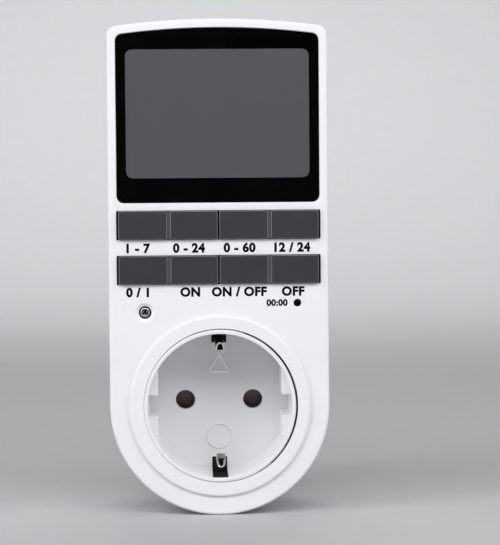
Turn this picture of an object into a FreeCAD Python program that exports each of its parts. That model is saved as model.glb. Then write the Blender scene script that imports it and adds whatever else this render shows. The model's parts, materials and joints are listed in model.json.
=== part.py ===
import FreeCAD, Part
import math
import os
import Sketcher

# Digital plug-in timer with an earthed socket in front and an earthed plug behind.
# Millimetres. X to the right seen from the front, Y into the wall, Z up.
# The origin lies on the plug's end face, midway between its two pins.

document = FreeCAD.newDocument("PlugInTimer")
sheet = document.addObject("Spreadsheet::Sheet", "Sizes")

# Driving dimensions: one value each, with what it measures.
DRIVING = {
    # Casing
    "side_room": (7.0, "socket insert to the casing's inner wall, at the sides and below"),
    "top_height": (105.4, "top of the casing above the socket axis"),
    "top_arc_radius": (210.0, "radius of the bowed top edge"),
    "top_corner_radius": (2.7, "radius between the top edge and the sides"),
    "inner_corner_radius": (1.0, "radius in the hollow's upper corners"),
    "body_depth": (38.0, "rear plane to front face"),
    "cover_depth": (15.0, "front face to the parting plane"),
    "wall": (2.2, "wall thickness of both shells"),
    "front_edge_bevel": (0.9, "bevel of the front edge"),
    "rear_edge_bevel": (1.6, "bevel of the rear edge"),
    "lap_height": (1.6, "height of the lap joint between the shells"),
    "lap_clearance": (0.1, "clearance in the lap joint"),
    "seat_gap": (0.1, "play left where one piece drops into another"),
    # Plug boss
    "boss_length": (17.0, "rear plane to the plug's end face"),
    "boss_radius": (18.4, "plug boss radius"),
    "boss_flat": (16.6, "axis to the flats at the sides of the boss"),
    "boss_rib_half": (2.6, "half width of the guide ribs on the flats"),
    "boss_hollow_half": (14.6, "half width of the hollow in the boss"),
    "boss_end_wall": (2.5, "end wall of the boss"),
    "boss_edge_bevel": (0.8, "bevel of the boss's end"),
    "pin_spacing": (19.0, "distance between the two pins"),
    "pin_radius": (2.4, "plug pin radius"),
    "pin_length": (19.0, "plug pin length beyond the end face"),
    "pin_tip_bevel": (1.3, "bevel of the pin's tip"),
    "pin_root_half": (2.5, "half width of the pin's root in the end wall"),
    "pin_collar_half": (3.3, "half width of the collar behind the end wall"),
    "pin_collar_length": (1.5, "collar length"),
    "pin_tail_half": (1.6, "half width of the pin's tail"),
    "pin_tail_length": (0.6, "tail beyond its strap"),
    # Socket
    "ring_radius": (24.8, "outer radius of the raised ring round the socket"),
    "ring_height": (0.8, "height of the raised ring"),
    "ring_bevel": (0.4, "bevel of the raised ring's edge"),
    "rim_gap": (0.25, "gap round the socket insert's rim"),
    "rim_radius": (20.8, "outer radius of the insert's rim"),
    "recess_radius": (19.4, "inner radius of the socket recess"),
    "recess_depth": (17.5, "rim to the floor of the recess"),
    "floor_thickness": (2.5, "floor of the recess"),
    "gallery_depth": (2.8, "room for the shutter behind the floor"),
    "rim_bevel": (0.25, "bevel round the insert's rim"),
    "lug_reach": (1.4, "insert's lugs behind the cover, beyond its wall"),
    "lug_width": (3.6, "lug width"),
    "lug_thickness": (1.5, "lug thickness"),
    "guide_half_width": (17.0, "axis to the flat guides at the sides"),
    "guide_drop": (1.5, "guides' front below the rim"),
    "guide_notch_half": (2.85, "half width of the notch in each guide"),
    "pin_hole_radius": (2.7, "entry holes for a plug's pins"),
    "earth_slot_width": (4.2, "width of the slots for the earth clips"),
    "earth_slot_inner": (16.1, "axis to the slots' inner edge"),
    "earth_slot_outer": (21.4, "axis to the slots' outer edge"),
    "earth_slot_drop": (0.8, "slots' front end below the rim"),
    # Shutter
    "shutter_half_width": (13.9, "half width of the shutter bar"),
    "shutter_half_height": (3.5, "half height of the shutter bar"),
    "shutter_thickness": (2.4, "shutter bar thickness"),
    "shutter_travel": (6.3, "travel that clears the entry holes"),
    "shutter_ramp_rise": (6.3, "height of the ramp that the pins push on"),
    "shutter_land": (0.4, "bar thickness left at the ramp's lower edge"),
    "rail_width": (1.4, "guide rails beside the shutter"),
    "spring_half": (1.05, "half width of the shutter's spring"),
    "spring_wall": (0.35, "wall of the spring's closed form"),
    "spring_length": (10.9, "shutter to the spring's stop"),
    "spring_stop": (1.4, "thickness of the spring's stop"),
    "stop_half_width": (2.4, "half width of the spring's stop"),
    # Contacts
    "plate_play": (0.3, "floor plate and contact carrier inside the insert's width"),
    "carrier_thickness": (3.0, "contact carrier thickness"),
    "carrier_post_x": (10.0, "carrier posts, sideways"),
    "carrier_post_z": (15.4, "carrier posts, up and down"),
    "carrier_post_half": (1.7, "half width of a carrier post"),
    "sleeve_inside": (2.45, "half width inside a contact sleeve"),
    "sleeve_wall": (0.8, "sheet that a contact sleeve is folded from"),
    "sleeve_tail": (1.5, "sleeve's end in front of the rear plane"),
    "sleeve_flange": (0.9, "sleeve flange beyond its wall"),
    "sleeve_flange_thickness": (1.0, "sleeve flange thickness"),
    "sleeve_slit": (1.0, "slit that lets the sleeve grip"),
    "strap_thickness": (0.8, "brass strap thickness"),
    "strap_half_width": (2.4, "half width of a strap"),
    "strap_rise": (3.0, "straps in front of the power board"),
    "strap_overlap": (3.0, "strap's end on the power board"),
    "strap_foot": (3.6, "width of the live strap's run along the rear wall"),
    "clip_width": (2.4, "earth clip width"),
    "clip_thickness": (0.6, "earth clip thickness"),
    "clip_leg": (17.6, "axis to the outer face of the clip's leg"),
    "clip_bow": (13.85, "axis to the clip's bow, its nearest point"),
    "clip_bow_depth": (7.0, "rim to the clip's bow"),
    "clip_tip": (17.8, "axis to the clip's tip"),
    "clip_tip_depth": (2.5, "rim to the clip's tip"),
    "clip_bow_round": (1.6, "rounding at the clip's bow"),
    "clip_bend_round": (0.55, "outer rounding where the clip's legs turn forward"),
    "clip_tip_bevel": (0.7, "bevel of the clip's tongue, seen from the front"),
    "plug_earth_seat": (16.8, "axis to the plug's earth strips"),
    "plug_earth_width": (4.0, "plug earth strip width"),
    "plug_earth_thickness": (0.8, "plug earth strip thickness"),
    "plug_earth_end": (1.6, "strip's end below the plug's end face"),
    # Window and display
    "window_border": (2.33, "casing edge to the lens"),
    "window_bottom": (55.5, "socket axis to the lens's lower edge"),
    "window_corner": (2.0, "lens corner radius"),
    "window_ledge": (1.5, "ledge under the lens"),
    "lens_drop": (0.1, "lens below the face"),
    "lens_thickness": (1.2, "lens thickness"),
    "mask_thickness": (0.2, "printed mask behind the lens"),
    "screen_border": (4.95, "casing edge to the screen, the clear opening in the mask"),
    "screen_bottom": (62.2, "socket axis to the screen's lower edge"),
    "screen_drop": (8.1, "top of the casing to the screen's upper edge"),
    "screen_corner": (1.9, "screen corner radius"),
    "display_room": (0.75, "cover's side wall to the display frame"),
    "glass_border_end": (1.8, "display glass beyond the screen, up and down"),
    "glass_ply": (1.0, "thickness of each of the display's two glasses"),
    "glass_drop": (0.8, "display glass behind the cover's wall"),
    "contact_ledge": (2.2, "strip of glass that the connector meets"),
    "reflector_thickness": (0.5, "sheet behind the display glass"),
    "frame_wall": (0.8, "display frame's side walls"),
    "frame_floor": (1.2, "display frame's floor"),
    "frame_rib": (2.0, "display frame's standing edge behind its floor"),
    "zebra_half_length": (21.0, "half length of the rubber connector"),
    "zebra_height": (1.5, "rubber connector height"),
    # Keys
    "key_row_border": (2.25, "casing edge to the end of a key row"),
    "key_aperture_half": (3.95, "half height of a key row's aperture"),
    "key_row_upper": (49.45, "socket axis to the upper key row"),
    "key_row_lower": (37.25, "socket axis to the lower key row"),
    "key_gap": (0.5, "gap between the two keys of a row"),
    "key_end_gap": (0.3, "gap at the ends of a row"),
    "key_side_gap": (0.1, "gap above and below a key"),
    "key_proud": (1.0, "key in front of the face"),
    "key_wall": (1.1, "key wall thickness"),
    "key_skirt": (1.9, "key skirt behind the cover's wall"),
    "key_bevel": (0.3, "bevel of the key's front edges"),
    "key_corner": (0.4, "bevel of the key's corners"),
    "key_groove_width": (1.0, "groove between a key's halves"),
    "key_groove_depth": (0.35, "depth of that groove"),
    "key_pivot_half": (0.75, "half width of a trunnion"),
    "key_pivot_clearance": (0.1, "trunnion's running clearance"),
    "key_pivot_drop": (1.0, "pivot behind the cover's wall"),
    "key_pivot_length": (1.35, "trunnion length"),
    "key_plunger_half": (1.2, "half width of the plunger over each dome"),
    "key_plunger_gap": (0.4, "plunger to dome at rest"),
    "ear_width": (3.6, "ear that holds a trunnion"),
    "ear_height": (1.6, "ear thickness along the trunnion"),
    "ear_length": (2.5, "ear behind the cover's wall"),
    # Control board, mat and reset switch
    "control_board_front": (6.4, "cover's wall to the control board"),
    "board_thickness": (1.6, "thickness of both boards"),
    "control_board_play": (1.0, "cover's side wall to the control board"),
    "control_board_bottom": (24.4, "socket axis to the control board's lower edge"),
    "control_board_drop": (4.4, "top of the casing to the control board"),
    "board_notch_gap": (0.5, "board's clearance round screw bosses"),
    "mat_thickness": (0.8, "base of the dome mat"),
    "mat_margin": (0.9, "mat beyond the key rows"),
    "dome_half": (2.5, "half width of a dome's foot"),
    "dome_slope": (1.0, "bevel of a dome's sides"),
    "dome_height": (1.4, "dome height"),
    "reset_inset": (8.6, "casing edge to the reset hole"),
    "reset_z": (27.9, "reset hole above the socket axis"),
    "reset_hole_radius": (1.0, "reset hole radius"),
    "reset_switch_size": (4.5, "reset switch body, each way"),
    "reset_switch_depth": (2.8, "reset switch body depth"),
    "reset_button_radius": (1.15, "reset button radius"),
    "reset_button_clearance": (0.1, "reset button's clearance"),
    "reset_button_proud": (1.2, "reset button in front of its switch"),
    "reset_button_sunk": (1.2, "reset button inside its switch"),
    "reset_travel": (0.3, "reset button travel"),
    "reset_bottom_gap": (0.1, "room left behind the pressed button"),
    "battery_radius": (5.8, "backup battery radius"),
    "battery_height": (5.4, "backup battery height"),
    "battery_x": (11.0, "backup battery, sideways"),
    "battery_drop": (19.4, "top of the casing to the backup battery's middle"),
    "chip_size": (14.0, "processor package, each way"),
    "chip_height": (1.8, "processor package height"),
    "chip_x": (-9.0, "processor, sideways"),
    "chip_z": (80.0, "processor above the socket axis"),
    "crystal_half": (1.2, "half width of the crystal's can"),
    "crystal_length": (6.5, "crystal can length"),
    "crystal_z": (68.0, "crystal above the socket axis"),
    # Power board and its parts
    "power_board_play": (2.2, "housing's side wall to the power board"),
    "power_board_bottom": (31.0, "socket axis to the power board's lower edge"),
    "power_board_drop": (5.4, "top of the casing to the power board"),
    "standoff_height": (1.6, "rear wall to the power board"),
    "standoff_half": (2.2, "half width of a standoff"),
    "standoff_inset": (8.5, "casing edge to the standoffs"),
    "standoff_low": (34.6, "lower standoffs above the socket axis"),
    "standoff_drop": (9.8, "top of the casing to the upper standoffs"),
    "relay_width": (12.8, "relay width"),
    "relay_length": (28.6, "relay length"),
    "relay_height": (16.0, "relay height"),
    "relay_x": (-15.5, "relay, sideways"),
    "relay_z": (56.0, "relay above the socket axis"),
    "film_cap_width": (18.0, "dropper capacitor width"),
    "film_cap_thickness": (8.4, "dropper capacitor thickness"),
    "film_cap_height": (14.5, "dropper capacitor height"),
    "film_cap_x": (-10.0, "dropper capacitor, sideways"),
    "film_cap_z": (81.0, "dropper capacitor above the socket axis"),
    "can_radius": (5.0, "smoothing capacitor radius"),
    "can_height": (11.5, "smoothing capacitor height"),
    "can_x": (12.0, "smoothing capacitor, sideways"),
    "can_z": (52.0, "smoothing capacitor above the socket axis"),
    "varistor_half": (5.0, "half width of the varistor disc"),
    "varistor_thickness": (3.6, "varistor disc thickness"),
    "varistor_x": (5.5, "varistor, sideways"),
    "varistor_z": (40.0, "varistor above the socket axis"),
    "diode_width": (2.7, "rectifier diode width"),
    "diode_height": (2.3, "rectifier diode height"),
    "diode_length": (4.6, "rectifier diode length"),
    "diode_pitch": (4.4, "distance between diodes"),
    "diode_x": (8.0, "first diode, sideways"),
    "diode_z": (68.0, "diodes above the socket axis"),
    "lead_half": (0.35, "half width of a component's lead"),
    "link_inset": (8.0, "casing edge to the link between the boards"),
    "link_z": (80.0, "link between the boards above the socket axis"),
    "link_pitch": (2.54, "distance between the link's pins"),
    "link_block": (2.5, "link's plastic block, each way"),
    "link_pin_half": (0.32, "half width of the link's square pins"),
    # Fasteners
    "rear_screw_merge": (0.4, "lower rear screws' bosses inside the casing's wall"),
    "rear_screw_inset": (4.5, "casing edge to the upper rear screws"),
    "rear_screw_z": (56.5, "upper rear screws above the socket axis"),
    "rear_well_radius": (2.3, "well for a rear screw's head"),
    "rear_well_depth": (17.0, "rear plane to the well's floor"),
    "rear_boss_half": (3.3, "half width of the boss round a rear screw's well"),
    "cover_boss_half": (2.6, "half width of the cover's screw bosses"),
    "rear_screw_half": (1.2, "half width of a rear screw's shank"),
    "rear_screw_length": (13.0, "rear screw shank length"),
    "rear_head_radius": (2.1, "rear screw head radius"),
    "rear_head_height": (1.4, "rear screw head height"),
    "front_screw_inset": (9.8, "casing edge to the front screw"),
    "front_screw_z": (25.7, "front screw above the socket axis"),
    "front_dimple_radius": (2.5, "dimple round the front screw"),
    "front_dimple_depth": (0.6, "dimple depth"),
    "front_head_radius": (1.75, "front screw head radius"),
    "front_head_height": (1.1, "front screw head height"),
    "front_head_drop": (1.5, "face to the floor under the front screw's head"),
    "front_screw_half": (0.95, "half width of the front screw's shank"),
    "front_screw_length": (17.0, "front screw shank length"),
    "front_boss_length": (10.8, "cover's tube for the front screw"),
    "tower_half": (2.9, "half width of the tower for the front screw"),
    "wing_width": (0.5, "width of the three wings of the front screw's recess"),
    "wing_reach": (1.26, "reach of those wings"),
    "wing_depth": (0.7, "depth of that recess"),
    "front_head_bevel": (0.35, "bevel of the front screw's head"),
    "screw_hole_gap": (0.15, "play round a screw in a through hole"),
    "board_screw_half": (0.85, "half width of a board screw's shank"),
    "board_screw_length": (5.0, "board screw shank length"),
    "power_screw_length": (3.2, "power board screw shank length"),
    "board_head_half": (1.8, "half width of a board screw's head"),
    "board_head_height": (1.1, "board screw head height"),
    "board_post_half": (2.0, "half width of the cover's posts for the control board"),
    "board_post_upper_x": (8.0, "upper post, to the right"),
    "board_post_upper_z": (57.0, "upper post above the socket axis"),
    "board_post_lower_x": (6.0, "lower post, to the left"),
    "board_post_lower_z": (30.2, "lower post above the socket axis"),
    # Ribs and inner parts' edges
    "part_bevel": (0.6, "bevel of the relay, capacitor, chip and diode bodies"),
    "rib_thickness": (1.2, "stiffening ribs of the shells"),
    "rib_height": (2.0, "stiffening ribs' height"),
}

for row, (alias, (value, meaning)) in enumerate(DRIVING.items(), start=1):
    sheet.set(f"A{row}", meaning)
    sheet.set(f"B{row}", str(value))
    sheet.setAlias(f"B{row}", alias)
document.recompute()


class Size:
    """A length: the formula that the document keeps, and its present value."""

    def __init__(self, formula, value):
        self.formula = formula
        self.value = value

    def __add__(self, other):
        other = as_size(other)
        return Size(f"({self.formula} + {other.formula})", self.value + other.value)

    def __sub__(self, other):
        other = as_size(other)
        return Size(f"({self.formula} - {other.formula})", self.value - other.value)

    def __mul__(self, factor):
        return Size(f"({self.formula} * {factor})", self.value * factor)

    def __truediv__(self, divisor):
        return self * (1 / divisor)

    def __neg__(self):
        return Size(f"(-1 * {self.formula})", -self.value)

    def __radd__(self, other):
        return as_size(other) + self

    def __rsub__(self, other):
        return as_size(other) - self


def as_size(number):
    return number if isinstance(number, Size) else Size(str(float(number)), float(number))


def other_leg(long_side, leg):
    """The third side of a right-angled triangle."""
    formula = f"sqrt({long_side.formula} ^ 2 - {leg.formula} ^ 2)"
    return Size(formula, math.sqrt(long_side.value ** 2 - leg.value ** 2))


class Sheet:
    """Gives each driving dimension by its alias."""

    def __getattr__(self, alias):
        return Size(f"Sizes.{alias}", DRIVING[alias][0])


s = Sheet()
ZERO = as_size(0)

# The plane that a sketch lies on, the sign of its normal, and the sketch's two directions.
PLANES = {"Y": ("XZ_Plane", -1), "Z": ("XY_Plane", 1), "X": ("YZ_Plane", 1)}


class Drawing:
    """A sketch across one of a body's axes, at a station along it."""

    def __init__(self, body, label, along, station):
        role, sign = PLANES[along]
        plane = [item for item in body.Origin.OriginFeatures if item.Role == role][0]
        self.sketch = body.newObject("Sketcher::SketchObject", label)
        self.sketch.AttachmentSupport = [(plane, "")]
        self.sketch.MapMode = "FlatFace"
        self.sketch.setExpression("AttachmentOffset.Base.z", (station * sign).formula)
        self.count = 0

    def fix(self, kind, item, point, size):
        """Holds one coordinate of a point of the drawing at a size."""
        made = Sketcher.Constraint(kind, -1, 1, item, point, size.value)
        self.name(self.sketch.addConstraint(made), size)

    def name(self, index, size):
        self.count += 1
        label = f"d{self.count}"
        self.sketch.renameConstraint(index, label)
        self.sketch.setExpression(f"Constraints.{label}", size.formula)

    def place(self, item, point, across, up):
        self.fix("DistanceX", item, point, across)
        self.fix("DistanceY", item, point, up)

    def disc(self, across, up, radius):
        centre = FreeCAD.Vector(across.value, up.value, 0)
        circle = Part.Circle(centre, FreeCAD.Vector(0, 0, 1), radius.value)
        item = self.sketch.addGeometry(circle, False)
        self.place(item, 3, across, up)
        self.name(self.sketch.addConstraint(Sketcher.Constraint("Radius", item, radius.value)), radius)

    def polygon(self, corners):
        """A closed shape with straight sides."""
        points = [FreeCAD.Vector(across.value, up.value, 0) for across, up in corners]
        items = []
        for start, end in zip(points, points[1:] + points[:1]):
            items.append(self.sketch.addGeometry(Part.LineSegment(start, end), False))
        for item, following in zip(items, items[1:] + items[:1]):
            self.sketch.addConstraint(Sketcher.Constraint("Coincident", item, 2, following, 1))
        for item, (across, up) in zip(items, corners):
            self.place(item, 1, across, up)

    def plate(self, across, up):
        """A rectangle from a low and a high value each way."""
        left, right = across
        low, high = up
        self.polygon([(left, low), (right, low), (right, high), (left, high)])

    def arc(self, centre, radius, start, end):
        """An arc whose centre and radius are held, between two angles in degrees."""
        circle = Part.Circle(FreeCAD.Vector(*centre, 0), FreeCAD.Vector(0, 0, 1), radius)
        curve = Part.ArcOfCircle(circle, math.radians(start), math.radians(end))
        return self.sketch.addGeometry(curve, False)

    def line(self, start, end):
        segment = Part.LineSegment(FreeCAD.Vector(*start, 0), FreeCAD.Vector(*end, 0))
        return self.sketch.addGeometry(segment, False)

    def smooth(self, first, first_end, second, second_end):
        self.sketch.addConstraint(Sketcher.Constraint("Tangent", first, first_end, second, second_end))

    def radius(self, item, size):
        self.name(self.sketch.addConstraint(Sketcher.Constraint("Radius", item, size.value)), size)

    def outline(self, inset, corner, bottom=None, bottom_corner=None):
        """The casing's outline, drawn in by an inset: round below, or cut straight at a height."""
        half = half_width - inset
        apex = s.top_height - inset
        crown = s.top_arc_radius - inset
        crown_z = apex.value - crown.value
        corner_x = half.value - corner.value
        corner_z = crown_z + math.sqrt((crown.value - corner.value) ** 2 - corner_x ** 2)
        tilt = math.degrees(math.atan2(corner_z - crown_z, corner_x))
        floor_z = bottom.value + bottom_corner.value if bottom else 0.0
        right = self.line((half.value, floor_z), (half.value, corner_z))
        top_right = self.arc((corner_x, corner_z), corner.value, 0, tilt)
        top = self.arc((0, crown_z), crown.value, tilt, 180 - tilt)
        top_left = self.arc((-corner_x, corner_z), corner.value, 180 - tilt, 180)
        left = self.line((-half.value, corner_z), (-half.value, floor_z))
        self.smooth(right, 2, top_right, 1)
        self.smooth(top_right, 2, top, 1)
        self.smooth(top, 2, top_left, 1)
        self.smooth(top_left, 2, left, 1)
        self.radius(top, crown)
        self.place(top, 3, ZERO, apex - crown)
        self.radius(top_right, corner)
        self.radius(top_left, corner)
        if bottom is None:
            base = self.arc((0, 0), half.value, 180, 360)
            self.smooth(left, 2, base, 1)
            self.smooth(base, 2, right, 1)
            self.radius(base, half)
            self.place(base, 3, ZERO, ZERO)
            return
        low_x = half.value - bottom_corner.value
        low_left = self.arc((-low_x, floor_z), bottom_corner.value, 180, 270)
        base = self.line((-low_x, bottom.value), (low_x, bottom.value))
        low_right = self.arc((low_x, floor_z), bottom_corner.value, 270, 360)
        self.smooth(left, 2, low_left, 1)
        self.smooth(low_left, 2, base, 1)
        self.smooth(base, 2, low_right, 1)
        self.smooth(low_right, 2, right, 1)
        self.radius(low_left, bottom_corner)
        self.radius(low_right, bottom_corner)
        self.place(low_left, 3, bottom_corner - half, bottom + bottom_corner)
        self.place(low_right, 3, half - bottom_corner, bottom + bottom_corner)

    def rounded_plate(self, across, up, corner):
        """A rectangle with rounded corners."""
        left, right = across
        low, high = up
        r = corner.value
        bottom = self.line((left.value + r, low.value), (right.value - r, low.value))
        low_right = self.arc((right.value - r, low.value + r), r, 270, 360)
        side = self.line((right.value, low.value + r), (right.value, high.value - r))
        high_right = self.arc((right.value - r, high.value - r), r, 0, 90)
        top = self.line((right.value - r, high.value), (left.value + r, high.value))
        high_left = self.arc((left.value + r, high.value - r), r, 90, 180)
        other = self.line((left.value, high.value - r), (left.value, low.value + r))
        low_left = self.arc((left.value + r, low.value + r), r, 180, 270)
        chain = [bottom, low_right, side, high_right, top, high_left, other, low_left]
        for item, following in zip(chain, chain[1:] + chain[:1]):
            self.smooth(item, 2, following, 1)
        for item in (low_right, high_right, high_left, low_left):
            self.radius(item, corner)
        self.place(low_left, 3, left + corner, low + corner)
        self.place(high_right, 3, right - corner, high - corner)


class Piece:
    """One separate piece of the object: a body built up by pads and pockets."""

    made = []

    def __init__(self, name):
        self.name = name
        self.body = document.addObject("PartDesign::Body", name)
        self.body.Label = name
        self.steps = 0
        Piece.made.append(self)

    def drawing(self, along, station):
        self.steps += 1
        return Drawing(self.body, f"{self.name}_sketch_{self.steps}", along, station)

    def feature(self, kind, drawing, span):
        low, high = span
        made = self.body.newObject(f"PartDesign::{kind}", f"{self.name}_{kind.lower()}_{self.steps}")
        made.Profile = drawing.sketch
        made.setExpression("Length", (high - low).formula)
        made.Refine = True
        return made

    def add(self, span, draw, along="Y"):
        """Adds material over a span, with the cross-section that draw puts on the sketch."""
        low, high = span
        drawing = self.drawing(along, high if along == "Y" else low)
        draw(drawing)
        return self.feature("Pad", drawing, span)

    def cut(self, span, draw, along="Y"):
        """Cuts material away over a span."""
        low, high = span
        drawing = self.drawing(along, low if along == "Y" else high)
        draw(drawing)
        return self.feature("Pocket", drawing, span)

    def round_edges(self, size, wanted, kind="Fillet"):
        """Rounds or bevels the edges that a test picks out."""
        document.recompute()
        base = self.body.Tip
        picked = []
        for index, edge in enumerate(base.Shape.Edges, start=1):
            if wanted(edge):
                picked.append(f"Edge{index}")
        if not picked:
            raise ValueError(f"{self.name}: no edge to round")
        self.steps += 1
        made = self.body.newObject(f"PartDesign::{kind}", f"{self.name}_{kind.lower()}_{self.steps}")
        made.Base = (base, picked)
        made.setExpression("Radius" if kind == "Fillet" else "Size", size.formula)
        return made


def discs(*rounds):
    """A cross-section of circles, each given as across, up and radius."""
    def draw(drawing):
        for across, up, radius in rounds:
            drawing.disc(as_size(across), as_size(up), radius)
    return draw


def holes(places, radius):
    """A cross-section of equal circles."""
    return discs(*[(across, up, radius) for across, up in places])


def plates(*rectangles):
    """A cross-section of rectangles, each given as a pair across and a pair up."""
    def draw(drawing):
        for across, up in rectangles:
            drawing.plate([as_size(end) for end in across], [as_size(end) for end in up])
    return draw


def eight_sides(reach):
    """The corners of an eight-sided shape, given half its width across the flats."""
    near = reach * math.tan(math.pi / 8)
    corners = [(reach, -near), (reach, near), (near, reach), (-near, reach)]
    return corners + [(-across, -up) for across, up in corners]


def octagons(places, reach):
    """A cross-section of eight-sided shapes: small hidden rounds and flat-sided plates."""
    def draw(drawing):
        for across, up in places:
            drawing.polygon([(as_size(across) + x, as_size(up) + z) for x, z in eight_sides(reach)])
    return draw


def squares(places, half):
    """A cross-section of equal squares."""
    return plates(*[(around(across, half), around(up, half)) for across, up in places])


def shape(corners):
    """A cross-section with straight sides."""
    def draw(drawing):
        drawing.polygon([(as_size(across), as_size(up)) for across, up in corners])
    return draw


def around(middle, half):
    """The span either side of a middle."""
    middle = as_size(middle)
    return middle - half, middle + half


def level(edge, station):
    """Whether an edge lies wholly in the plane across Y at a station."""
    box = edge.BoundBox
    return abs(box.YMin - station.value) < 0.001 and abs(box.YMax - station.value) < 0.001


# Widths, seen from the front. The casing's lower end is a half circle of half its width.
half_width = s.rim_radius + s.side_room + s.wall
screen_half = half_width - s.screen_border
screen_top = s.top_height - s.screen_drop
frame_half = half_width - s.wall - s.display_room
glass_half = frame_half - s.frame_wall - s.seat_gap
key_row_half = half_width - s.key_row_border
plate_reach = s.rim_radius - s.plate_play
sleeve_half = s.sleeve_inside + s.sleeve_wall
front_screw_x = s.front_screw_inset - half_width
reset_x = half_width - s.reset_inset
link_x = half_width - s.link_inset
battery_z = s.top_height - s.battery_drop

# Stations along Y, from the front to the back.
rear_plane = -s.boss_length
face = rear_plane - s.body_depth
split = face + s.cover_depth
boss_meeting = split - s.lap_height
front_wall = face + s.wall
rear_wall = rear_plane - s.wall
ring_front = face - s.ring_height
recess_floor = ring_front + s.recess_depth
floor_back = recess_floor + s.floor_thickness
gallery_back = floor_back + s.gallery_depth
carrier_back = gallery_back + s.carrier_thickness
lens_front = face + s.lens_drop
lens_back = lens_front + s.lens_thickness
mask_back = lens_back + s.mask_thickness
glass_front = front_wall + s.glass_drop
glass_middle = glass_front + s.glass_ply
glass_back = glass_middle + s.glass_ply
reflector_back = glass_back + s.reflector_thickness
control_front = front_wall + s.control_board_front
control_back = control_front + s.board_thickness
mat_front = control_front - s.mat_thickness
dome_front = mat_front - s.dome_height
power_back = rear_wall - s.standoff_height
power_front = power_back - s.board_thickness
well_floor = rear_plane - s.rear_well_depth
front_head_seat = face + s.front_head_drop
front_tube_end = front_wall + s.front_boss_length

pin_x = s.pin_spacing / 2
cover_hole = s.rim_radius + s.rim_gap
glass_bottom = s.screen_bottom - s.glass_border_end
glass_top = screen_top + s.glass_border_end
key_length = key_row_half - s.key_gap / 2 - s.key_end_gap
key_middle = s.key_gap / 2 + key_length / 2
key_half_height = s.key_aperture_half - s.key_side_gap
key_front = face - s.key_proud
key_back = front_wall + s.key_skirt
key_pivot = front_wall + s.key_pivot_drop
plunger_x = key_length / 4
plunger_end = dome_front - s.key_plunger_gap
KEY_ROWS = (s.key_row_upper, s.key_row_lower)
KEY_SIDES = (-key_middle, key_middle)

low_screw_reach = half_width - s.wall - s.rear_boss_half + s.rear_screw_merge
low_screw = low_screw_reach * math.sqrt(0.5)
high_screw_x = half_width - s.rear_screw_inset
rear_screws = [
    (-low_screw, -low_screw),
    (low_screw, -low_screw),
    (-high_screw_x, s.rear_screw_z),
    (high_screw_x, s.rear_screw_z),
]
control_posts = [
    (s.board_post_upper_x, s.board_post_upper_z),
    (-s.board_post_lower_x, s.board_post_lower_z),
]
standoff_x = half_width - s.standoff_inset
standoff_high = s.top_height - s.standoff_drop
standoffs = [(-standoff_x, standoff_high), (standoff_x, s.standoff_low)]
plain_standoffs = [(standoff_x, standoff_high), (-standoff_x, s.standoff_low)]
carrier_posts = [
    (-s.carrier_post_x, -s.carrier_post_z),
    (s.carrier_post_x, -s.carrier_post_z),
    (-s.carrier_post_x, s.carrier_post_z),
    (s.carrier_post_x, s.carrier_post_z),
]
front_screws = [(front_screw_x, s.front_screw_z)]
pin_places = [(-pin_x, ZERO), (pin_x, ZERO)]


def window_shape(inset, corner):
    """The window's outline, drawn in from the lens's own edge."""
    def draw(drawing):
        drawing.outline(s.window_border + inset, corner, s.window_bottom + inset, corner)
    return draw


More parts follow.
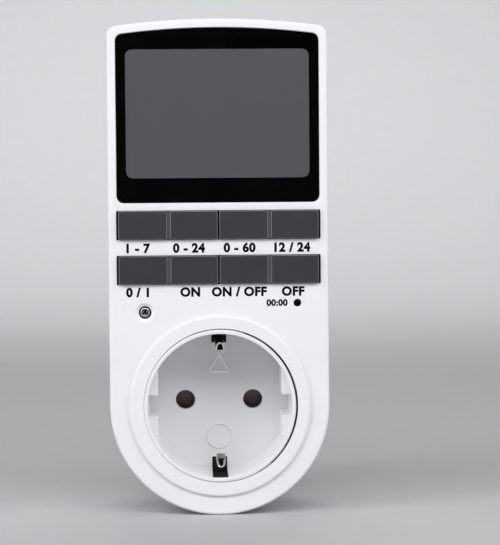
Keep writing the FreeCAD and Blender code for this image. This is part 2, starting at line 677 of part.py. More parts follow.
def front_cover():
    """The front shell: face, raised ring, window, key apertures, bosses and ears."""
    cover = Piece("front_cover")
    cover.add((face, split), lambda drawing: drawing.outline(ZERO, s.top_corner_radius))
    cover.round_edges(s.front_edge_bevel, lambda edge: level(edge, face), kind="Chamfer")
    cover.add((ring_front, face), discs((0, 0, s.ring_radius)))
    cover.round_edges(s.ring_bevel, lambda edge: level(edge, ring_front), kind="Chamfer")
    cover.cut((front_wall, split), lambda drawing: drawing.outline(s.wall, s.inner_corner_radius))
    lap = s.wall / 2
    lap_corner = s.inner_corner_radius + lap
    cover.cut((split - s.lap_height, split), lambda drawing: drawing.outline(lap, lap_corner))
    cover.add((front_wall, boss_meeting), octagons(rear_screws, s.cover_boss_half))
    cover.add((front_wall, front_tube_end), octagons(front_screws, s.tower_half))
    cover.add((front_wall, control_front), octagons(control_posts, s.board_post_half))
    ears = []
    for row in KEY_ROWS:
        for x in KEY_SIDES:
            for side in (-1, 1):
                near = row + s.key_aperture_half * side
                far = near + s.ear_height * side
                ears.append((around(x, s.ear_width / 2), (near, far) if side > 0 else (far, near)))
    cover.add((front_wall, front_wall + s.ear_length), plates(*ears))
    between_rows = around((s.key_row_upper + s.key_row_lower) / 2, s.rib_thickness / 2)
    ribs = [
        (around(ZERO, s.rib_thickness / 2), (s.key_row_upper + s.key_aperture_half, s.window_bottom)),
        (around(ZERO, half_width - s.wall), between_rows),
    ]
    cover.add((front_wall, front_wall + s.rib_height), plates(*ribs))
    cover.cut((ring_front, front_wall), discs((0, 0, cover_hole)))
    cover.cut((face, mask_back), window_shape(ZERO, s.window_corner))
    cover.cut((mask_back, front_wall), window_shape(s.window_ledge, s.window_corner))
    rows = [(around(ZERO, key_row_half), around(row, s.key_aperture_half)) for row in KEY_ROWS]
    cover.cut((face, front_wall), plates(*rows))
    saddle = s.key_pivot_half + s.key_pivot_clearance
    saddles = [(x, key_pivot) for x in KEY_SIDES]
    throats = [(around(x, saddle), (key_pivot, front_wall + s.ear_length)) for x in KEY_SIDES]
    for row in KEY_ROWS:
        reach = around(row, s.key_aperture_half + s.key_pivot_length)
        cover.cut(reach, octagons(saddles, saddle), along="Z")
        cover.cut(reach, plates(*throats), along="Z")
    cover.cut((face, front_wall), discs((reset_x, s.reset_z, s.reset_hole_radius)))
    cover.cut((face, face + s.front_dimple_depth), holes(front_screws, s.front_dimple_radius))
    cover.cut((face, front_head_seat), holes(front_screws, s.front_head_radius + s.screw_hole_gap))
    shank_hole = s.front_screw_half + s.screw_hole_gap
    cover.cut((front_head_seat, front_tube_end), octagons(front_screws, shank_hole))
    screw_room = well_floor - s.rear_screw_length - s.screw_hole_gap
    cover.cut((screw_room, boss_meeting), octagons(rear_screws, s.rear_screw_half))
    pilot_end = control_back - s.board_screw_length - s.screw_hole_gap
    cover.cut((pilot_end, control_front), octagons(control_posts, s.board_screw_half))


def rear_housing():
    """The rear shell with the plug's boss, screw wells, standoffs and posts."""
    housing = Piece("rear_housing")
    housing.add((split, rear_plane), lambda drawing: drawing.outline(ZERO, s.top_corner_radius))
    housing.round_edges(s.rear_edge_bevel, lambda edge: level(edge, rear_plane), kind="Chamfer")
    housing.add((rear_plane, ZERO), discs((0, 0, s.boss_radius)))
    side = s.boss_radius + s.wall
    flats = []
    for across in ((-side, -s.boss_flat), (s.boss_flat, side)):
        flats.append((across, (s.boss_rib_half, side)))
        flats.append((across, (-side, -s.boss_rib_half)))
    housing.cut((rear_plane, ZERO), plates(*flats))
    housing.round_edges(s.boss_edge_bevel, lambda edge: level(edge, ZERO), kind="Chamfer")
    housing.cut((split, rear_wall), lambda drawing: drawing.outline(s.wall, s.inner_corner_radius))
    lip_inset = s.wall / 2 + s.lap_clearance

    def lip(drawing):
        drawing.outline(lip_inset, s.inner_corner_radius + s.wall - lip_inset)
        drawing.outline(s.wall, s.inner_corner_radius)

    housing.add((split - s.lap_height + s.lap_clearance, split), lip)
    housing.add((boss_meeting, rear_wall), octagons(rear_screws, s.rear_boss_half))
    housing.add((front_tube_end, rear_wall), octagons(front_screws, s.tower_half))
    housing.add((power_back, rear_wall), octagons(standoffs + plain_standoffs, s.standoff_half))
    housing.add((carrier_back, rear_wall), squares(carrier_posts, s.carrier_post_half))
    rib_low = s.standoff_low + s.standoff_half
    rib_high = standoff_high - s.standoff_half
    ribs = [
        (around(-standoff_x, s.rib_thickness / 2), (rib_low, rib_high)),
        (around(standoff_x, s.rib_thickness / 2), (rib_low, rib_high)),
    ]
    housing.add((power_back + s.seat_gap, rear_wall), plates(*ribs))
    housing.cut((rear_wall, -s.boss_end_wall), octagons([(ZERO, ZERO)], s.boss_hollow_half))
    housing.cut((-s.boss_end_wall, ZERO), octagons(pin_places, s.pin_root_half + s.seat_gap / 2))
    strip_half = s.plug_earth_width / 2 + s.seat_gap
    groove_top = s.boss_radius + s.wall
    grooves = [
        (around(ZERO, strip_half), (s.plug_earth_seat, groove_top)),
        (around(ZERO, strip_half), (-groove_top, -s.plug_earth_seat)),
    ]
    housing.cut((rear_plane, -s.plug_earth_end + s.seat_gap), plates(*grooves))
    slot_top = s.plug_earth_seat + s.plug_earth_thickness + s.seat_gap
    slots = [
        (around(ZERO, strip_half), (s.plug_earth_seat, slot_top)),
        (around(ZERO, strip_half), (-slot_top, -s.plug_earth_seat)),
    ]
    housing.cut((rear_wall, rear_plane), plates(*slots))
    housing.cut((well_floor, rear_plane), holes(rear_screws, s.rear_well_radius))
    housing.cut((boss_meeting, well_floor), octagons(rear_screws, s.rear_screw_half + s.screw_hole_gap))
    screw_end = front_head_seat + s.front_screw_length + s.screw_hole_gap
    housing.cut((front_tube_end, screw_end), octagons(front_screws, s.front_screw_half))
    pilot_end = power_front + s.power_screw_length + s.screw_hole_gap
    housing.cut((power_back, pilot_end), octagons(standoffs, s.board_screw_half))


def window_parts():
    """The clear lens, and the black mask printed behind it."""
    lens = Piece("window_lens")
    lens.add((lens_front, lens_back), window_shape(s.seat_gap / 2, s.window_corner))
    mask = Piece("window_mask")

    def frame(drawing):
        window_shape(s.seat_gap / 2, s.window_corner)(drawing)
        drawing.rounded_plate((-screen_half, screen_half), (s.screen_bottom, screen_top), s.screen_corner)

    mask.add((lens_back, mask_back), frame)


def display():
    """The liquid crystal glass, its reflector, its frame and the rubber connector."""
    panel = Piece("lcd_panel")
    panel.add((glass_front, glass_middle), plates((around(ZERO, glass_half), (glass_bottom, glass_top))))
    ledge = glass_bottom + s.contact_ledge
    panel.add((glass_middle, glass_back), plates((around(ZERO, glass_half), (ledge, glass_top))))
    reflector = Piece("lcd_reflector")
    reflector.add((glass_back, reflector_back), plates((around(ZERO, glass_half), (ledge, glass_top))))
    tray = Piece("lcd_frame")
    low = glass_bottom - s.seat_gap - s.frame_wall
    high = glass_top + s.seat_gap + s.frame_wall
    tray.add((glass_front, control_front), plates((around(ZERO, frame_half), (low, high))))
    room = s.seat_gap + glass_half
    tray.cut(
        (glass_front, reflector_back),
        plates((around(ZERO, room), (glass_bottom - s.seat_gap, glass_top + s.seat_gap))),
    )
    connector = (glass_bottom + s.seat_gap, glass_bottom + s.seat_gap + s.zebra_height)
    slot = (connector[0] - s.seat_gap, connector[1] + s.seat_gap)
    slot_across = around(ZERO, s.zebra_half_length + s.seat_gap)
    tray.cut((reflector_back, control_front), plates((slot_across, slot)))
    inner = around(ZERO, frame_half - s.frame_rib)
    inner_up = (slot[1] + s.frame_rib, high - s.frame_rib)
    tray.cut((reflector_back + s.frame_floor, control_front), plates((inner, inner_up)))
    zebra = Piece("zebra_strip")
    zebra.add((glass_middle, control_front), plates((around(ZERO, s.zebra_half_length), connector)))


def double_key(name, x, row):
    """One moulding with two key halves that rocks about a pair of trunnions."""
    key = Piece(name)
    across = around(x, key_length / 2)
    up = around(row, key_half_height)
    key.add((key_front, key_back), plates((across, up)))

    def along_y(edge):
        return edge.BoundBox.YLength > 1 and edge.BoundBox.XLength < 0.001 and edge.BoundBox.ZLength < 0.001

    key.round_edges(s.key_corner, along_y, kind="Chamfer")
    key.round_edges(s.key_bevel, lambda edge: level(edge, key_front), kind="Chamfer")
    left = (across[0] + s.key_wall, x - s.key_wall / 2)
    right = (x + s.key_wall / 2, across[1] - s.key_wall)
    inside = (up[0] + s.key_wall, up[1] - s.key_wall)
    ceiling = key_front + s.key_wall + s.key_groove_depth
    key.cut((ceiling, key_back), plates((left, inside), (right, inside)))
    key.cut((key_front, key_front + s.key_groove_depth), plates((around(x, s.key_groove_width / 2), up)))
    feet = [(x - plunger_x, row), (x + plunger_x, row)]
    key.add((key_front + s.key_wall, plunger_end), squares(feet, s.key_plunger_half))
    reach = key_half_height + s.key_pivot_length
    trunnions = (row - reach, row + reach)
    key.add(trunnions, octagons([(x, key_pivot)], s.key_pivot_half), along="Z")


def keys():
    for row_name, row in zip(("upper", "lower"), KEY_ROWS):
        for side_name, x in zip(("left", "right"), KEY_SIDES):
            double_key(f"double_key_{row_name}_{side_name}", x, row)


def control_board():
    """The board behind the display and keys, with notches round the screw bosses."""
    board = Piece("control_board")
    board_half = half_width - s.wall - s.control_board_play
    board_top = s.top_height - s.control_board_drop
    board.add(
        (control_front, control_back),
        plates((around(ZERO, board_half), (s.control_board_bottom, board_top))),
    )
    high_notch = s.cover_boss_half + s.board_notch_gap
    board.cut((control_front, control_back), octagons(rear_screws[2:], high_notch))
    board.cut((control_front, control_back), octagons(front_screws, s.tower_half + s.board_notch_gap))
    screw_hole = s.board_screw_half + s.screw_hole_gap
    board.cut((control_front, control_back), octagons(control_posts, screw_hole))


def dome_mat():
    """The silicone mat with a dome under each key half."""
    mat = Piece("silicone_dome_mat")
    low = s.key_row_lower - s.key_aperture_half
    high = s.key_row_upper + s.key_aperture_half
    side = key_row_half - s.mat_margin * 2
    mat.add((mat_front, control_front), plates((around(ZERO, side), (low, high))))
    places = []
    for row in KEY_ROWS:
        for x in KEY_SIDES:
            places += [(x - plunger_x, row), (x + plunger_x, row)]
    mat.add((dome_front, mat_front), squares(places, s.dome_half))
    mat.round_edges(s.dome_slope, lambda edge: level(edge, dome_front), kind="Chamfer")


def reset_switch():
    """The small switch behind the reset hole, and its button."""
    switch = Piece("reset_switch_body")
    across = around(reset_x, s.reset_switch_size / 2)
    up = around(s.reset_z, s.reset_switch_size / 2)
    switch_front = control_front - s.reset_switch_depth
    switch.add((switch_front, control_front), plates((across, up)))
    bore = s.reset_button_radius + s.reset_button_clearance
    button_end = switch_front + s.reset_button_sunk
    bore_end = button_end + s.reset_travel + s.reset_bottom_gap
    switch.cut((switch_front, bore_end), octagons([(reset_x, s.reset_z)], bore))
    button = Piece("reset_button")
    button_front = switch_front - s.reset_button_proud
    button.add((button_front, button_end), discs((reset_x, s.reset_z, s.reset_button_radius)))


def control_parts():
    """The parts on the back of the control board."""
    battery = Piece("backup_battery")
    place = (s.battery_x, battery_z, s.battery_radius)
    battery.add((control_back, control_back + s.battery_height), discs(place))
    chip = Piece("processor_chip")
    half = s.chip_size / 2
    chip_back = control_back + s.chip_height
    chip.add((control_back, chip_back), plates((around(s.chip_x, half), around(s.chip_z, half))))
    chip.round_edges(s.part_bevel / 2, lambda edge: level(edge, chip_back), kind="Chamfer")
    crystal = Piece("crystal")
    can = [(control_back + s.crystal_half, s.crystal_z)]
    crystal.add(around(s.chip_x, s.crystal_length / 2), octagons(can, s.crystal_half), along="X")


def earth_slots():
    """The cross-section of the two slots for the earth clip's tongues."""
    half = s.earth_slot_width / 2
    upper = (around(ZERO, half), (s.earth_slot_inner, s.earth_slot_outer))
    lower = (around(ZERO, half), (-s.earth_slot_outer, -s.earth_slot_inner))
    return plates(upper, lower)


def socket_insert():
    """The round cup: rim, wall, guides, earth slots and the lugs that hold it behind the cover."""
    insert = Piece("socket_insert")
    insert.add((ring_front, recess_floor), discs((0, 0, s.rim_radius)))
    insert.round_edges(s.rim_bevel, lambda edge: level(edge, ring_front), kind="Chamfer")
    insert.cut((ring_front, recess_floor), discs((0, 0, s.recess_radius)))
    guide_front = ring_front + s.guide_drop
    inside_wall = (s.recess_radius + s.rim_radius) / 2
    guide_side = other_leg(inside_wall, s.guide_notch_half)
    guide_end = other_leg(inside_wall, s.guide_half_width)

    def guide_shape(drawing):
        for side in (-1, 1):
            for end in (-1, 1):
                drawing.polygon([
                    (s.guide_half_width * side, s.guide_notch_half * end),
                    (guide_side * side, s.guide_notch_half * end),
                    (s.guide_half_width * side, guide_end * end),
                ])

    insert.add((guide_front, recess_floor), guide_shape)
    half = s.lug_width / 2
    beside = other_leg(inside_wall, half)
    outside = s.rim_radius + s.lug_reach
    near = s.earth_slot_width / 2 + half
    far = near + s.lug_width
    above = (other_leg(inside_wall, near + half), other_leg(outside, far))
    lugs = []
    for side in (-1, 1):
        level_lug = (beside, outside) if side > 0 else (-outside, -beside)
        lugs.append((level_lug, around(ZERO, half)))
        up = above if side > 0 else (-above[1], -above[0])
        lugs.append(((near, far), up))
        lugs.append(((-far, -near), up))
    insert.add((front_wall, front_wall + s.lug_thickness), plates(*lugs))
    insert.cut((ring_front + s.earth_slot_drop, recess_floor), earth_slots())


def socket_floor():
    """The recess floor behind the cup: entry holes, earth slots and the shutter's rails."""
    plate = Piece("socket_floor")
    plate.add((recess_floor, floor_back), octagons([(ZERO, ZERO)], plate_reach))
    plate.cut((recess_floor, floor_back), holes(pin_places, s.pin_hole_radius))
    plate.cut((recess_floor, floor_back), earth_slots())
    rail = s.shutter_half_width + s.seat_gap
    top = s.shutter_half_height + s.shutter_travel
    rails = [
        ((rail, rail + s.rail_width), (-s.shutter_half_height, top)),
        ((-rail - s.rail_width, -rail), (-s.shutter_half_height, top)),
        (around(ZERO, s.stop_half_width), spring_stop_span()),
        (around(ZERO, s.stop_half_width), rest_stop_span()),
    ]
    plate.add((floor_back, gallery_back), plates(*rails))


def spring_stop_span():
    start = s.shutter_half_height + s.spring_length
    return start, start + s.spring_stop


def rest_stop_span():
    end = -s.shutter_half_height - s.seat_gap
    return end - s.spring_stop, end


def shutter():
    """The bar that closes the entry holes until both pins push it up, and its spring."""
    bar = Piece("shutter")
    bar_front = floor_back + (s.gallery_depth - s.shutter_thickness) / 2
    bar_back = bar_front + s.shutter_thickness
    low = -s.shutter_half_height
    profile = [
        (bar_back - s.shutter_land, low),
        (bar_back, low),
        (bar_back, s.shutter_half_height),
        (bar_front, s.shutter_half_height),
        (bar_front, low + s.shutter_ramp_rise),
    ]
    bar.add(around(ZERO, s.shutter_half_width), shape(profile), along="X")
    spring = Piece("shutter_spring")
    place = [(ZERO, (bar_front + bar_back) / 2)]
    span = (s.shutter_half_height, s.shutter_half_height + s.spring_length)
    spring.add(span, octagons(place, s.spring_half), along="Z")
    spring.cut(span, octagons(place, s.spring_half - s.spring_wall), along="Z")


def contacts():
    """The contact carrier and the two folded sleeves that grip a plug's pins."""
    carrier = Piece("contact_carrier")
    carrier.add((gallery_back, carrier_back), octagons([(ZERO, ZERO)], plate_reach))
    carrier.cut((gallery_back, carrier_back), squares(pin_places, sleeve_half + s.seat_gap / 2))
    clip_room = s.clip_width / 2 + s.seat_gap
    leg = (s.clip_leg - s.clip_thickness - s.seat_gap, s.clip_leg + s.seat_gap)
    legs = [(around(ZERO, clip_room), leg), (around(ZERO, clip_room), (-leg[1], -leg[0]))]
    carrier.cut((gallery_back, carrier_back), plates(*legs))
    sleeve_end = rear_plane - s.sleeve_tail
    flange_back = carrier_back + s.sleeve_flange_thickness
    for name, x in (("live_contact_sleeve", -pin_x), ("neutral_contact_sleeve", pin_x)):
        sleeve = Piece(name)
        sleeve.add((gallery_back, sleeve_end), squares([(x, ZERO)], sleeve_half))
        sleeve.add((carrier_back, flange_back), squares([(x, ZERO)], sleeve_half + s.sleeve_flange))
        sleeve.cut((gallery_back, sleeve_end), squares([(x, ZERO)], s.sleeve_inside))
        slit = (around(x, s.sleeve_slit / 2), (ZERO, sleeve_half + s.sleeve_flange))
        sleeve.cut((flange_back, sleeve_end), plates(slit))


def earth_parts():
    """The earth clip with its two bowed tongues, and the plug's earth strips."""
    clip = Piece("earth_clip")
    back = carrier_back + s.clip_thickness
    tip_y = ring_front + s.clip_tip_depth
    bow_y = ring_front + s.clip_bow_depth
    leg = s.clip_leg
    leg_in = leg - s.clip_thickness
    bend_y = recess_floor
    slant = s.clip_thickness * 1.1
    upper = [
        (carrier_back, leg_in),
        (bend_y, leg_in),
        (bow_y, s.clip_bow),
        (tip_y, s.clip_tip - slant),
        (tip_y, s.clip_tip),
        (bow_y, s.clip_bow + slant),
        (bend_y, leg),
        (back, leg),
    ]
    lower = [(y, -z) for y, z in reversed(upper)]
    clip.add(around(ZERO, s.clip_width / 2), shape(upper + lower), along="X")

    def at_bow(edge):
        box = edge.BoundBox
        inner = abs(abs(box.ZMin) - s.clip_bow.value) < 0.001
        outer = abs(abs(box.ZMin) - (s.clip_bow + slant).value) < 0.001
        return box.XLength > 1 and abs(box.YMin - bow_y.value) < 0.001 and (inner or outer)

    clip.round_edges(s.clip_bow_round, at_bow)

    def outer_corner(edge):
        box = edge.BoundBox
        outside = abs(abs(box.ZMin) - leg.value) < 0.001
        return box.XLength > 1 and outside and abs(box.YMin - back.value) < 0.001

    clip.round_edges(s.clip_bend_round, outer_corner)

    def tongue_corner(edge):
        box = edge.BoundBox
        return box.XLength < 0.001 and abs(box.YMin - tip_y.value) < 0.001 and box.YLength < 0.001

    clip.round_edges(s.clip_tip_bevel, tongue_corner, kind="Chamfer")
    strip_end = -s.plug_earth_end
    strip_across = around(ZERO, s.plug_earth_width / 2)
    strip_top = s.plug_earth_seat + s.plug_earth_thickness
    upper_strip = Piece("upper_plug_earth_strip")
    upper_strip.add((back, strip_end), plates((strip_across, (s.plug_earth_seat, strip_top))))
    lower_strip = Piece("lower_plug_earth_strip")
    lower_strip.add((back, strip_end), plates((strip_across, (-strip_top, -s.plug_earth_seat))))


def plug_pins():
    """The two solid pins, each with a root in the end wall, a square collar and a square tail."""
    collar_start = -s.boss_end_wall - s.pin_collar_length
    tail_start = collar_start - s.strap_thickness - s.pin_tail_length
    for name, x in (("plug_pin_live", -pin_x), ("plug_pin_neutral", pin_x)):
        pin = Piece(name)
        pin.add((ZERO, s.pin_length), discs((x, 0, s.pin_radius)))
        pin.round_edges(s.pin_tip_bevel, lambda edge: level(edge, s.pin_length), kind="Chamfer")
        pin.add((-s.boss_end_wall, ZERO), octagons([(x, ZERO)], s.pin_root_half))
        pin.add((collar_start, -s.boss_end_wall), squares([(x, ZERO)], s.pin_collar_half))
        pin.add((tail_start, collar_start), squares([(x, ZERO)], s.pin_tail_half))


def straps():
    """The brass straps between pins, sleeves and power board."""
    collar_start = -s.boss_end_wall - s.pin_collar_length
    eye = (collar_start - s.strap_thickness, collar_start)
    eye_hole = s.pin_tail_half + s.seat_gap / 2
    outer = pin_x + sleeve_half
    half = s.strap_half_width
    strap_front = power_front - s.strap_rise
    tail_top = s.power_board_bottom + s.strap_overlap

    neutral = Piece("neutral_strap")
    neutral.add(eye, plates(((pin_x - half, outer + s.strap_thickness), around(ZERO, half))))
    side = (outer, outer + s.strap_thickness)
    neutral.add((strap_front, eye[1]), plates((side, around(ZERO, half))))
    neutral.add((strap_front, power_front), plates((side, (-half, tail_top))))
    neutral.cut(eye, squares([(pin_x, ZERO)], eye_hole))

    live = Piece("live_strap")
    live.add(eye, plates(((-outer - s.strap_thickness, half - pin_x), around(ZERO, half))))
    side = (-outer - s.strap_thickness, -outer)
    crossing = (rear_wall - s.strap_thickness, rear_wall)
    live.add((crossing[0], eye[1]), plates((side, around(ZERO, half))))
    foot = (-outer - s.strap_foot, -outer)
    live.add(crossing, plates((foot, (-half, tail_top))))
    live.add((power_back, crossing[1]), plates((foot, (tail_top - s.strap_thickness, tail_top))))
    live.cut(eye, squares([(-pin_x, ZERO)], eye_hole))

    switched = Piece("switched_live_strap")
    inner = sleeve_half - pin_x
    side = (inner, inner + s.strap_thickness)
    switched.add((strap_front, power_front), plates((side, (-half, tail_top))))


def power_board():
    """The board that carries the relay and the power supply."""
    board = Piece("power_board")
    board_half = half_width - s.wall - s.power_board_play
    board_top = s.top_height - s.power_board_drop
    board.add(
        (power_front, power_back),
        plates((around(ZERO, board_half), (s.power_board_bottom, board_top))),
    )
    board.cut((power_front, power_back), octagons(rear_screws[2:], s.rear_boss_half + s.board_notch_gap))
    board.cut((power_front, power_back), octagons(standoffs, s.board_screw_half + s.screw_hole_gap))


def power_parts():
    """Relay, capacitors, varistor, diodes and the link to the control board."""
    relay = Piece("relay")
    across = around(s.relay_x, s.relay_width / 2)
    up = around(s.relay_z, s.relay_length / 2)
    relay_top = power_front - s.relay_height
    relay.add((relay_top, power_front), plates((across, up)))
    relay.round_edges(s.part_bevel, lambda edge: level(edge, relay_top), kind="Chamfer")

    film = Piece("dropper_capacitor")
    across = around(s.film_cap_x, s.film_cap_width / 2)
    up = around(s.film_cap_z, s.film_cap_thickness / 2)
    film_top = power_front - s.film_cap_height
    film.add((film_top, power_front), plates((across, up)))
    film.round_edges(s.part_bevel, lambda edge: level(edge, film_top), kind="Chamfer")

    can = Piece("smoothing_capacitor")
    can_top = power_front - s.can_height
    can.add((can_top, power_front), discs((s.can_x, s.can_z, s.can_radius)))

    varistor = Piece("varistor")
    disc_middle = power_front - s.varistor_half - s.varistor_thickness / 2
    disc = octagons([(disc_middle, s.varistor_z)], s.varistor_half)
    varistor.add(around(s.varistor_x, s.varistor_thickness / 2), disc, along="X")
    legs = [(s.varistor_x, s.varistor_z + s.varistor_half / 2 * end) for end in (-1, 1)]
    varistor.add((disc_middle, power_front), squares(legs, s.lead_half))

    diodes = Piece("rectifier_diodes")
    diode_front = power_front - s.diode_height
    up = around(s.diode_z, s.diode_length / 2)
    places = [s.diode_x + s.diode_pitch * index for index in range(4)]
    bodies = [(around(x, s.diode_width / 2), up) for x in places]
    diodes.add((diode_front, power_front), plates(*bodies))
    diodes.round_edges(s.part_bevel / 2, lambda edge: level(edge, diode_front), kind="Chamfer")

    link = Piece("board_link")
    pitch = s.link_pitch
    pins = [(link_x, s.link_z + pitch * index) for index in (-1.5, -0.5, 0.5, 1.5)]
    across = around(link_x, s.link_block / 2)
    up = around(s.link_z, pitch * 2)
    link.add((power_front - s.link_block, power_front), plates((across, up)))
    link.add((control_back, power_front), squares(pins, s.link_pin_half))
    link.add((control_back, control_back + s.link_block), plates((across, up)))


def screw_set(name, places, seat, toward, shank, length, head, height):
    """Screws as separate solids: toward is the way the shank points along Y, and head draws the heads."""
    screws = Piece(name)
    shank_span = (seat, seat + length) if toward > 0 else (seat - length, seat)
    head_span = (seat - height, seat) if toward > 0 else (seat, seat + height)
    screws.add(shank_span, octagons(places, shank))
    screws.add(head_span, head)
    return screws


def three_wing_recess(x, z, arm, width):
    """Three wings, a third of a turn apart."""
    half = width / 2
    corners = []
    for wing in range(3):
        turn = math.radians(90 + 120 * wing)
        out_x, out_z = math.cos(turn), math.sin(turn)
        side_x, side_z = -out_z, out_x
        inner = half * (1 / math.sqrt(3))
        for reach, side in ((inner, -1), (arm, -1), (arm, 1)):
            across = x + reach * out_x + half * (side * side_x)
            up = z + reach * out_z + half * (side * side_z)
            corners.append((across, up))
    return shape(corners)


def screws():
    front = screw_set(
        "front_screw", front_screws, front_head_seat, 1, s.front_screw_half, s.front_screw_length,
        holes(front_screws, s.front_head_radius), s.front_head_height,
    )
    front_top = front_head_seat - s.front_head_height
    front.round_edges(s.front_head_bevel, lambda edge: level(edge, front_top), kind="Chamfer")
    wings = three_wing_recess(front_screw_x, s.front_screw_z, s.wing_reach, s.wing_width)
    front.cut((front_top, front_top + s.wing_depth), wings)
    screw_set(
        "rear_screws", rear_screws, well_floor, -1, s.rear_screw_half, s.rear_screw_length,
        holes(rear_screws, s.rear_head_radius), s.rear_head_height,
    )
    screw_set(
        "control_board_screws", control_posts, control_back, -1, s.board_screw_half,
        s.board_screw_length, octagons(control_posts, s.board_head_half), s.board_head_height,
    )
    screw_set(
        "power_board_screws", standoffs, power_front, 1, s.board_screw_half, s.power_screw_length,
        octagons(standoffs, s.board_head_half), s.board_head_height,
    )


def write_pieces():
    """Checks every object of the document, and writes each piece to its own file."""
    document.recompute()
    for item in document.Objects:
        if "Invalid" in item.State or "Error" in item.State:
            raise ValueError(f"{item.Name} failed: {item.State}")
    os.makedirs("parts", exist_ok=True)
    for piece in Piece.made:
        solid = piece.body.Shape
        if solid.isNull() or not solid.isValid():
            raise ValueError(f"{piece.name} has no valid shape")
        solid.exportStep(f"parts/{piece.name}.step")
        print(f"{piece.name}: {len(solid.Solids)} solids, {solid.Volume:.2f} cubic millimetres")


front_cover()
rear_housing()
window_parts()
display()
keys()
dome_mat()
reset_switch()
control_board()
control_parts()
socket_insert()
socket_floor()
shutter()
contacts()
earth_parts()
plug_pins()
straps()
power_board()
power_parts()
screws()
write_pieces()
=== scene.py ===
import json
import math
import bmesh
import bpy
from mathutils import Matrix, Vector


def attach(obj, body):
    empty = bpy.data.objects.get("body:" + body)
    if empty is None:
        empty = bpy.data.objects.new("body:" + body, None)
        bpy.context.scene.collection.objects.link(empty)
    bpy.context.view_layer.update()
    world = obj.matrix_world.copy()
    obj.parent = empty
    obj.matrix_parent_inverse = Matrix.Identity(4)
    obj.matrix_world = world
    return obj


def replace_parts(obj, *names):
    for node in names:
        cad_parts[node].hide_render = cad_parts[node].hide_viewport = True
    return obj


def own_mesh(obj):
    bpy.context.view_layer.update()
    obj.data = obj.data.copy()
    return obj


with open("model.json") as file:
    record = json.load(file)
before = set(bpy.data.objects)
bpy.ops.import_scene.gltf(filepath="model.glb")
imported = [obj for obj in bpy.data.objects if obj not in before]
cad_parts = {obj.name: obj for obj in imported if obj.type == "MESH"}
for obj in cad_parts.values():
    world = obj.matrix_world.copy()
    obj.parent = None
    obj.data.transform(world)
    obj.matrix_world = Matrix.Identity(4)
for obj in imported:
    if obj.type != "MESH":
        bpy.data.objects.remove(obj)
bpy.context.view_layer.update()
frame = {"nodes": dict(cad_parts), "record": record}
MM = 0.001
QUARTER_TURN = math.pi / 2


# Materials: every one has fine grain in its relief, cloudiness in its gloss and a slight drift in its colour.

NOISE_LOW, NOISE_HIGH = 0.3, 0.7      # most of a noise field lies between these
PATCH_SIZE, HAZE_SIZE = 9, 3          # the blotches in colour and in gloss, in millimetres
finishes = {}


class Graph:
    """The nodes of one material, placed by the object's own coordinates in metres."""

    def __init__(self, name):
        self.material = bpy.data.materials.new(name)
        self.material.use_nodes = True
        self.nodes = self.material.node_tree.nodes
        self.links = self.material.node_tree.links
        self.shader = self.nodes["Principled BSDF"]
        self.place = self.nodes.new("ShaderNodeTexCoord").outputs["Object"]

    def new(self, kind, **inputs):
        """A node with each input linked to a socket or set to a value."""
        node = self.nodes.new(kind)
        for key, value in inputs.items():
            socket = node.inputs[key.replace("_", " ")]
            if isinstance(value, bpy.types.NodeSocket):
                self.links.new(value, socket)
            else:
                socket.default_value = value
        return node

    def noise(self, size, detail, stretch=(1, 1, 1)):
        """A cloudy field from 0 to 1 whose blotches are about size millimetres across."""
        place = self.place
        if stretch != (1, 1, 1):
            place = self.new("ShaderNodeMapping", Vector=place, Scale=stretch).outputs["Vector"]
        node = self.new("ShaderNodeTexNoise", Vector=place, Scale=1 / (size * MM), Detail=detail)
        return node.outputs["Fac"]

    def span(self, field, low, high):
        """The field spread over the range from low to high."""
        node = self.new("ShaderNodeMapRange", Value=field, From_Min=NOISE_LOW, From_Max=NOISE_HIGH,
                        To_Min=low, To_Max=high)
        return node.outputs["Result"]

    def blend(self, field, first, second):
        """Two colours mixed by the field."""
        node = self.nodes.new("ShaderNodeMix")
        node.data_type = "RGBA"
        self.links.new(field, node.inputs["Factor"])
        for key, colour in (("A", first), ("B", second)):
            socket = next(i for i in node.inputs if i.name == key and i.type == "RGBA")
            socket.default_value = (*colour, 1)
        return next(o for o in node.outputs if o.type == "RGBA")

    def relief(self, height, depth):
        """Bumps as high as depth, in millimetres."""
        node = self.new("ShaderNodeBump", Height=height, Distance=depth * MM, Strength=1.0)
        self.links.new(node.outputs["Normal"], self.shader.inputs["Normal"])


def finish(name, colour, roughness, drift=0.03, cloud=0.04, grain=0.25, depth=0.006, stretch=(1, 1, 1),
           **sockets):
    """A moulded, printed or drawn surface, kept in finishes under its name.

    Drift and cloud are the spread of its colour and of its roughness, grain and depth the width and the
    height of its fine relief in millimetres. The sockets are more inputs of the shader.
    """
    graph = Graph(name)
    dark = [c * (1 - drift) for c in colour]
    light = [c * (1 + drift) for c in colour]
    patches = graph.span(graph.noise(PATCH_SIZE, 3.0), 0.0, 1.0)
    graph.links.new(graph.blend(patches, dark, light), graph.shader.inputs["Base Color"])
    haze = graph.span(graph.noise(HAZE_SIZE, 4.0, stretch), roughness - cloud, roughness + cloud)
    graph.links.new(haze, graph.shader.inputs["Roughness"])
    graph.relief(graph.noise(grain, 2.0, stretch), depth)
    for key, value in sockets.items():
        graph.shader.inputs[key.replace("_", " ")].default_value = value
    finishes[name] = graph.material


